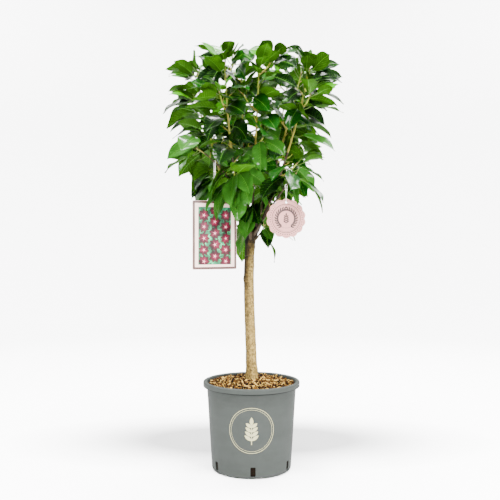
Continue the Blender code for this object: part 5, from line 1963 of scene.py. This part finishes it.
class PotSettings(bpy.types.PropertyGroup):
    """The pot, its print and the bark bed."""

    pot_colour: colour_prop("Pot", "Colour of the pot's plastic", (0.0262, 0.0294, 0.0272))
    print_colour: colour_prop("Print", "Colour of the ring and sprig on the pot", (0.2600, 0.2450, 0.1200))
    chip_pale: colour_prop("Pale chips", "Colour of the palest bark chips", (0.2250, 0.1370, 0.0320))
    chip_tan: colour_prop("Tan chips", "Colour of most bark chips", (0.0560, 0.0250, 0.0042))
    chip_brown: colour_prop("Brown chips", "Colour of the browner bark chips", (0.0120, 0.0044, 0.0008))
    chip_dark: colour_prop("Dark chips", "Colour of the darkest bark chips", (0.0018, 0.0008, 0.0003))
    chip_count: bpy.props.IntProperty(name="Chips", description="How many bark chips are strewn", default=4000, min=0)


class WoodSettings(bpy.types.PropertyGroup):
    """The bark of the trunk, boughs and shoots."""

    bark_colour: colour_prop("Trunk", "Colour of the trunk's bark", (0.1660, 0.1110, 0.0310))
    head_colour: colour_prop("Head", "Colour of the knobbly head", (0.0120, 0.0070, 0.0032))
    bough_colour: colour_prop("Boughs", "Colour of the boughs and old shoots", (0.0260, 0.0160, 0.0060))
    bronze_colour: colour_prop("Bronze shoots", "Colour of last year's wood", (0.1450, 0.1320, 0.0140))
    shoot_colour: colour_prop("Young shoots", "Colour of this year's wood", (0.1900, 0.2400, 0.0220))
    stalk_colour: colour_prop("Leaf stalks", "Colour of the leaf stalks", (0.0380, 0.0800, 0.0030))
    bud_colour: colour_prop("Buds", "Colour of the buds", (0.1100, 0.0600, 0.0240))


class LeafSettings(bpy.types.PropertyGroup):
    """The leaves' greens and form."""

    leaf_deep: colour_prop("Deep green", "Colour of the darkest leaves", (0.0000, 0.0052, 0.0000))
    leaf_mid: colour_prop("Mid green", "Colour of most leaves", (0.0010, 0.0235, 0.0006))
    leaf_bright: colour_prop("Bright green", "Colour of the brighter leaves", (0.0150, 0.0700, 0.0060))
    leaf_young: colour_prop("Young green", "Colour of the youngest leaves", (0.0200, 0.1150, 0.0003))
    under_colour: colour_prop("Undersides", "Colour of the leaves' undersides", (0.0140, 0.0520, 0.0006))
    vein_colour: colour_prop("Veins", "Colour of the midribs and veins", (0.0340, 0.1300, 0.0020))
    fold_range: bpy.props.FloatVectorProperty(
        name="Fold", description="Least and most fold of a blade along its midrib, in degrees",
        default=(8.0, 24.0), size=2, min=0.0, max=60.0)
    quilt_depth: bpy.props.FloatProperty(
        name="Quilting", description="How far the blade sinks at its veins, as a share of its length",
        default=0.011, min=0.0, max=0.05, subtype="FACTOR")
    tooth_depth: bpy.props.FloatProperty(
        name="Teeth", description="How far the teeth of a leaf's edge stand out", default=0.0011, min=0.0,
        max=0.003, unit="LENGTH", precision=5)


class TagSettings(bpy.types.PropertyGroup):
    """The picture card, the round tag and their strings."""

    card_colour: colour_prop("Card", "Colour of the card's stock", (0.7400, 0.5400, 0.4550))
    border_colour: colour_prop("Border", "Colour of the card's border", (0.0550, 0.0240, 0.0200))
    panel_colour: colour_prop("Panel", "Colour of the card's panel", (0.0060, 0.0900, 0.0360))
    crimson_colour: colour_prop("Blossoms", "Colour of the blossoms on the panel", (0.0850, 0.0009, 0.0140))
    blush_colour: colour_prop("Blush", "Colour of the pale streak on each petal", (0.5000, 0.1300, 0.1700))
    tag_colour: colour_prop("Tag", "Colour of the round tag", (0.4600, 0.2050, 0.1800))
    ink_colour: colour_prop("Tag print", "Colour of the print on the round tag", (0.0260, 0.0105, 0.0095))
    string_colour: colour_prop("String", "Colour of the strings", (0.86, 0.86, 0.82))


class StageSettings(bpy.types.PropertyGroup):
    """The floor and the lights."""

    floor_colour: colour_prop("Floor", "Colour of the floor and backdrop", (0.90, 0.90, 0.90))
    key_power: bpy.props.FloatProperty(name="Key light", description="Power of the main light", default=110.0, min=0.0,
                                       unit="POWER")
    backdrop_power: bpy.props.FloatProperty(name="Backdrop lights", description="Power of each backdrop light",
                                            default=900.0, min=0.0, unit="POWER")
    ambient: bpy.props.FloatProperty(name="Ambient", description="Strength of the light from all round", default=0.36,
                                     min=0.0)


SETTINGS = {"tree_pot": PotSettings, "tree_wood": WoodSettings, "tree_leaf": LeafSettings, "tree_tag": TagSettings,
            "tree_stage": StageSettings}


class TREE_OT_pot(bpy.types.Operator):
    """Makes the turned pot with its rolled rim and drainage slots"""

    bl_idname = "tree.make_pot"
    bl_label = "Pot"
    bl_options = {"REGISTER", "UNDO"}

    def execute(self, context):
        make_pot(context.scene.tree_pot)
        return {"FINISHED"}


class TREE_OT_pot_print(bpy.types.Operator):
    """Prints a plain ring and sprig on the front of the pot"""

    bl_idname = "tree.make_pot_print"
    bl_label = "Pot print"
    bl_options = {"REGISTER", "UNDO"}

    def execute(self, context):
        make_pot_print(context.scene.tree_pot)
        return {"FINISHED"}


class TREE_OT_bed(bpy.types.Operator):
    """Strews the bark chips on their bed and finishes the soil"""

    bl_idname = "tree.make_bed"
    bl_label = "Bark chips and soil"
    bl_options = {"REGISTER", "UNDO"}

    def execute(self, context):
        make_bed(context.scene.tree_pot)
        return {"FINISHED"}


class TREE_OT_trunk(bpy.types.Operator):
    """Makes the trunk's bark, with its scars and knobbly head"""

    bl_idname = "tree.make_trunk"
    bl_label = "Trunk"
    bl_options = {"REGISTER", "UNDO"}

    def execute(self, context):
        make_trunk(context.scene.tree_wood)
        return {"FINISHED"}


class TREE_OT_boughs(bpy.types.Operator):
    """Makes the bare boughs between the head and the masses of leaves"""

    bl_idname = "tree.make_boughs"
    bl_label = "Boughs"
    bl_options = {"REGISTER", "UNDO"}

    def execute(self, context):
        make_boughs(context.scene.tree_wood)
        return {"FINISHED"}


class TREE_OT_shoots(bpy.types.Operator):
    """Makes the stems, twigs, spurs, buds and leaf stalks"""

    bl_idname = "tree.make_shoots"
    bl_label = "Shoots"
    bl_options = {"REGISTER", "UNDO"}

    def execute(self, context):
        make_shoots(context.scene.tree_wood)
        return {"FINISHED"}


class TREE_OT_leaves(bpy.types.Operator):
    """Makes the leaf blades and their veins"""

    bl_idname = "tree.make_leaves"
    bl_label = "Leaves"
    bl_options = {"REGISTER", "UNDO"}

    def execute(self, context):
        make_leaves(context.scene.tree_leaf)
        return {"FINISHED"}


class TREE_OT_card(bpy.types.Operator):
    """Makes the picture card"""

    bl_idname = "tree.make_card"
    bl_label = "Card"
    bl_options = {"REGISTER", "UNDO"}

    def execute(self, context):
        make_card(context.scene.tree_tag)
        return {"FINISHED"}


class TREE_OT_tag(bpy.types.Operator):
    """Makes the round tag"""

    bl_idname = "tree.make_tag"
    bl_label = "Round tag"
    bl_options = {"REGISTER", "UNDO"}

    def execute(self, context):
        make_tag(context.scene.tree_tag)
        return {"FINISHED"}


class TREE_OT_strings(bpy.types.Operator):
    """Makes the twisted strings that the card and the tag hang on"""

    bl_idname = "tree.make_strings"
    bl_label = "Strings"
    bl_options = {"REGISTER", "UNDO"}

    def execute(self, context):
        make_strings(context.scene.tree_tag)
        return {"FINISHED"}


class TREE_OT_stage(bpy.types.Operator):
    """Makes the floor, the lights and the camera"""

    bl_idname = "tree.make_stage"
    bl_label = "Stage"
    bl_options = {"REGISTER", "UNDO"}

    def execute(self, context):
        make_stage(context.scene.tree_stage)
        return {"FINISHED"}


OPERATORS = (TREE_OT_stage, TREE_OT_pot, TREE_OT_pot_print, TREE_OT_bed, TREE_OT_trunk, TREE_OT_boughs,
             TREE_OT_shoots, TREE_OT_leaves, TREE_OT_card, TREE_OT_tag, TREE_OT_strings)


class TREE_PT_panel(bpy.types.Panel):
    """Lists the tree's pieces in the sidebar"""

    bl_label = "Cherry Tree"
    bl_idname = "TREE_PT_panel"
    bl_space_type = "VIEW_3D"
    bl_region_type = "UI"
    bl_category = "Cherry Tree"

    def draw(self, context):
        for name, group in SETTINGS.items():
            box = self.layout.box()
            for prop in group.__annotations__:
                box.prop(getattr(context.scene, name), prop)
        for operator in OPERATORS:
            self.layout.operator(operator.bl_idname)


def register():
    for cls in (*SETTINGS.values(), *OPERATORS, TREE_PT_panel):
        bpy.utils.register_class(cls)
    for name, group in SETTINGS.items():
        setattr(bpy.types.Scene, name, bpy.props.PointerProperty(type=group))


def unregister():
    for name in SETTINGS:
        delattr(bpy.types.Scene, name)
    for cls in (TREE_PT_panel, *reversed(OPERATORS), *SETTINGS.values()):
        bpy.utils.unregister_class(cls)


def main():
    """Registers the classes and makes every piece."""
    register()
    for operator in OPERATORS:
        group, name = operator.bl_idname.split(".")
        getattr(getattr(bpy.ops, group), name)()


if __name__ == "__main__":
    main()
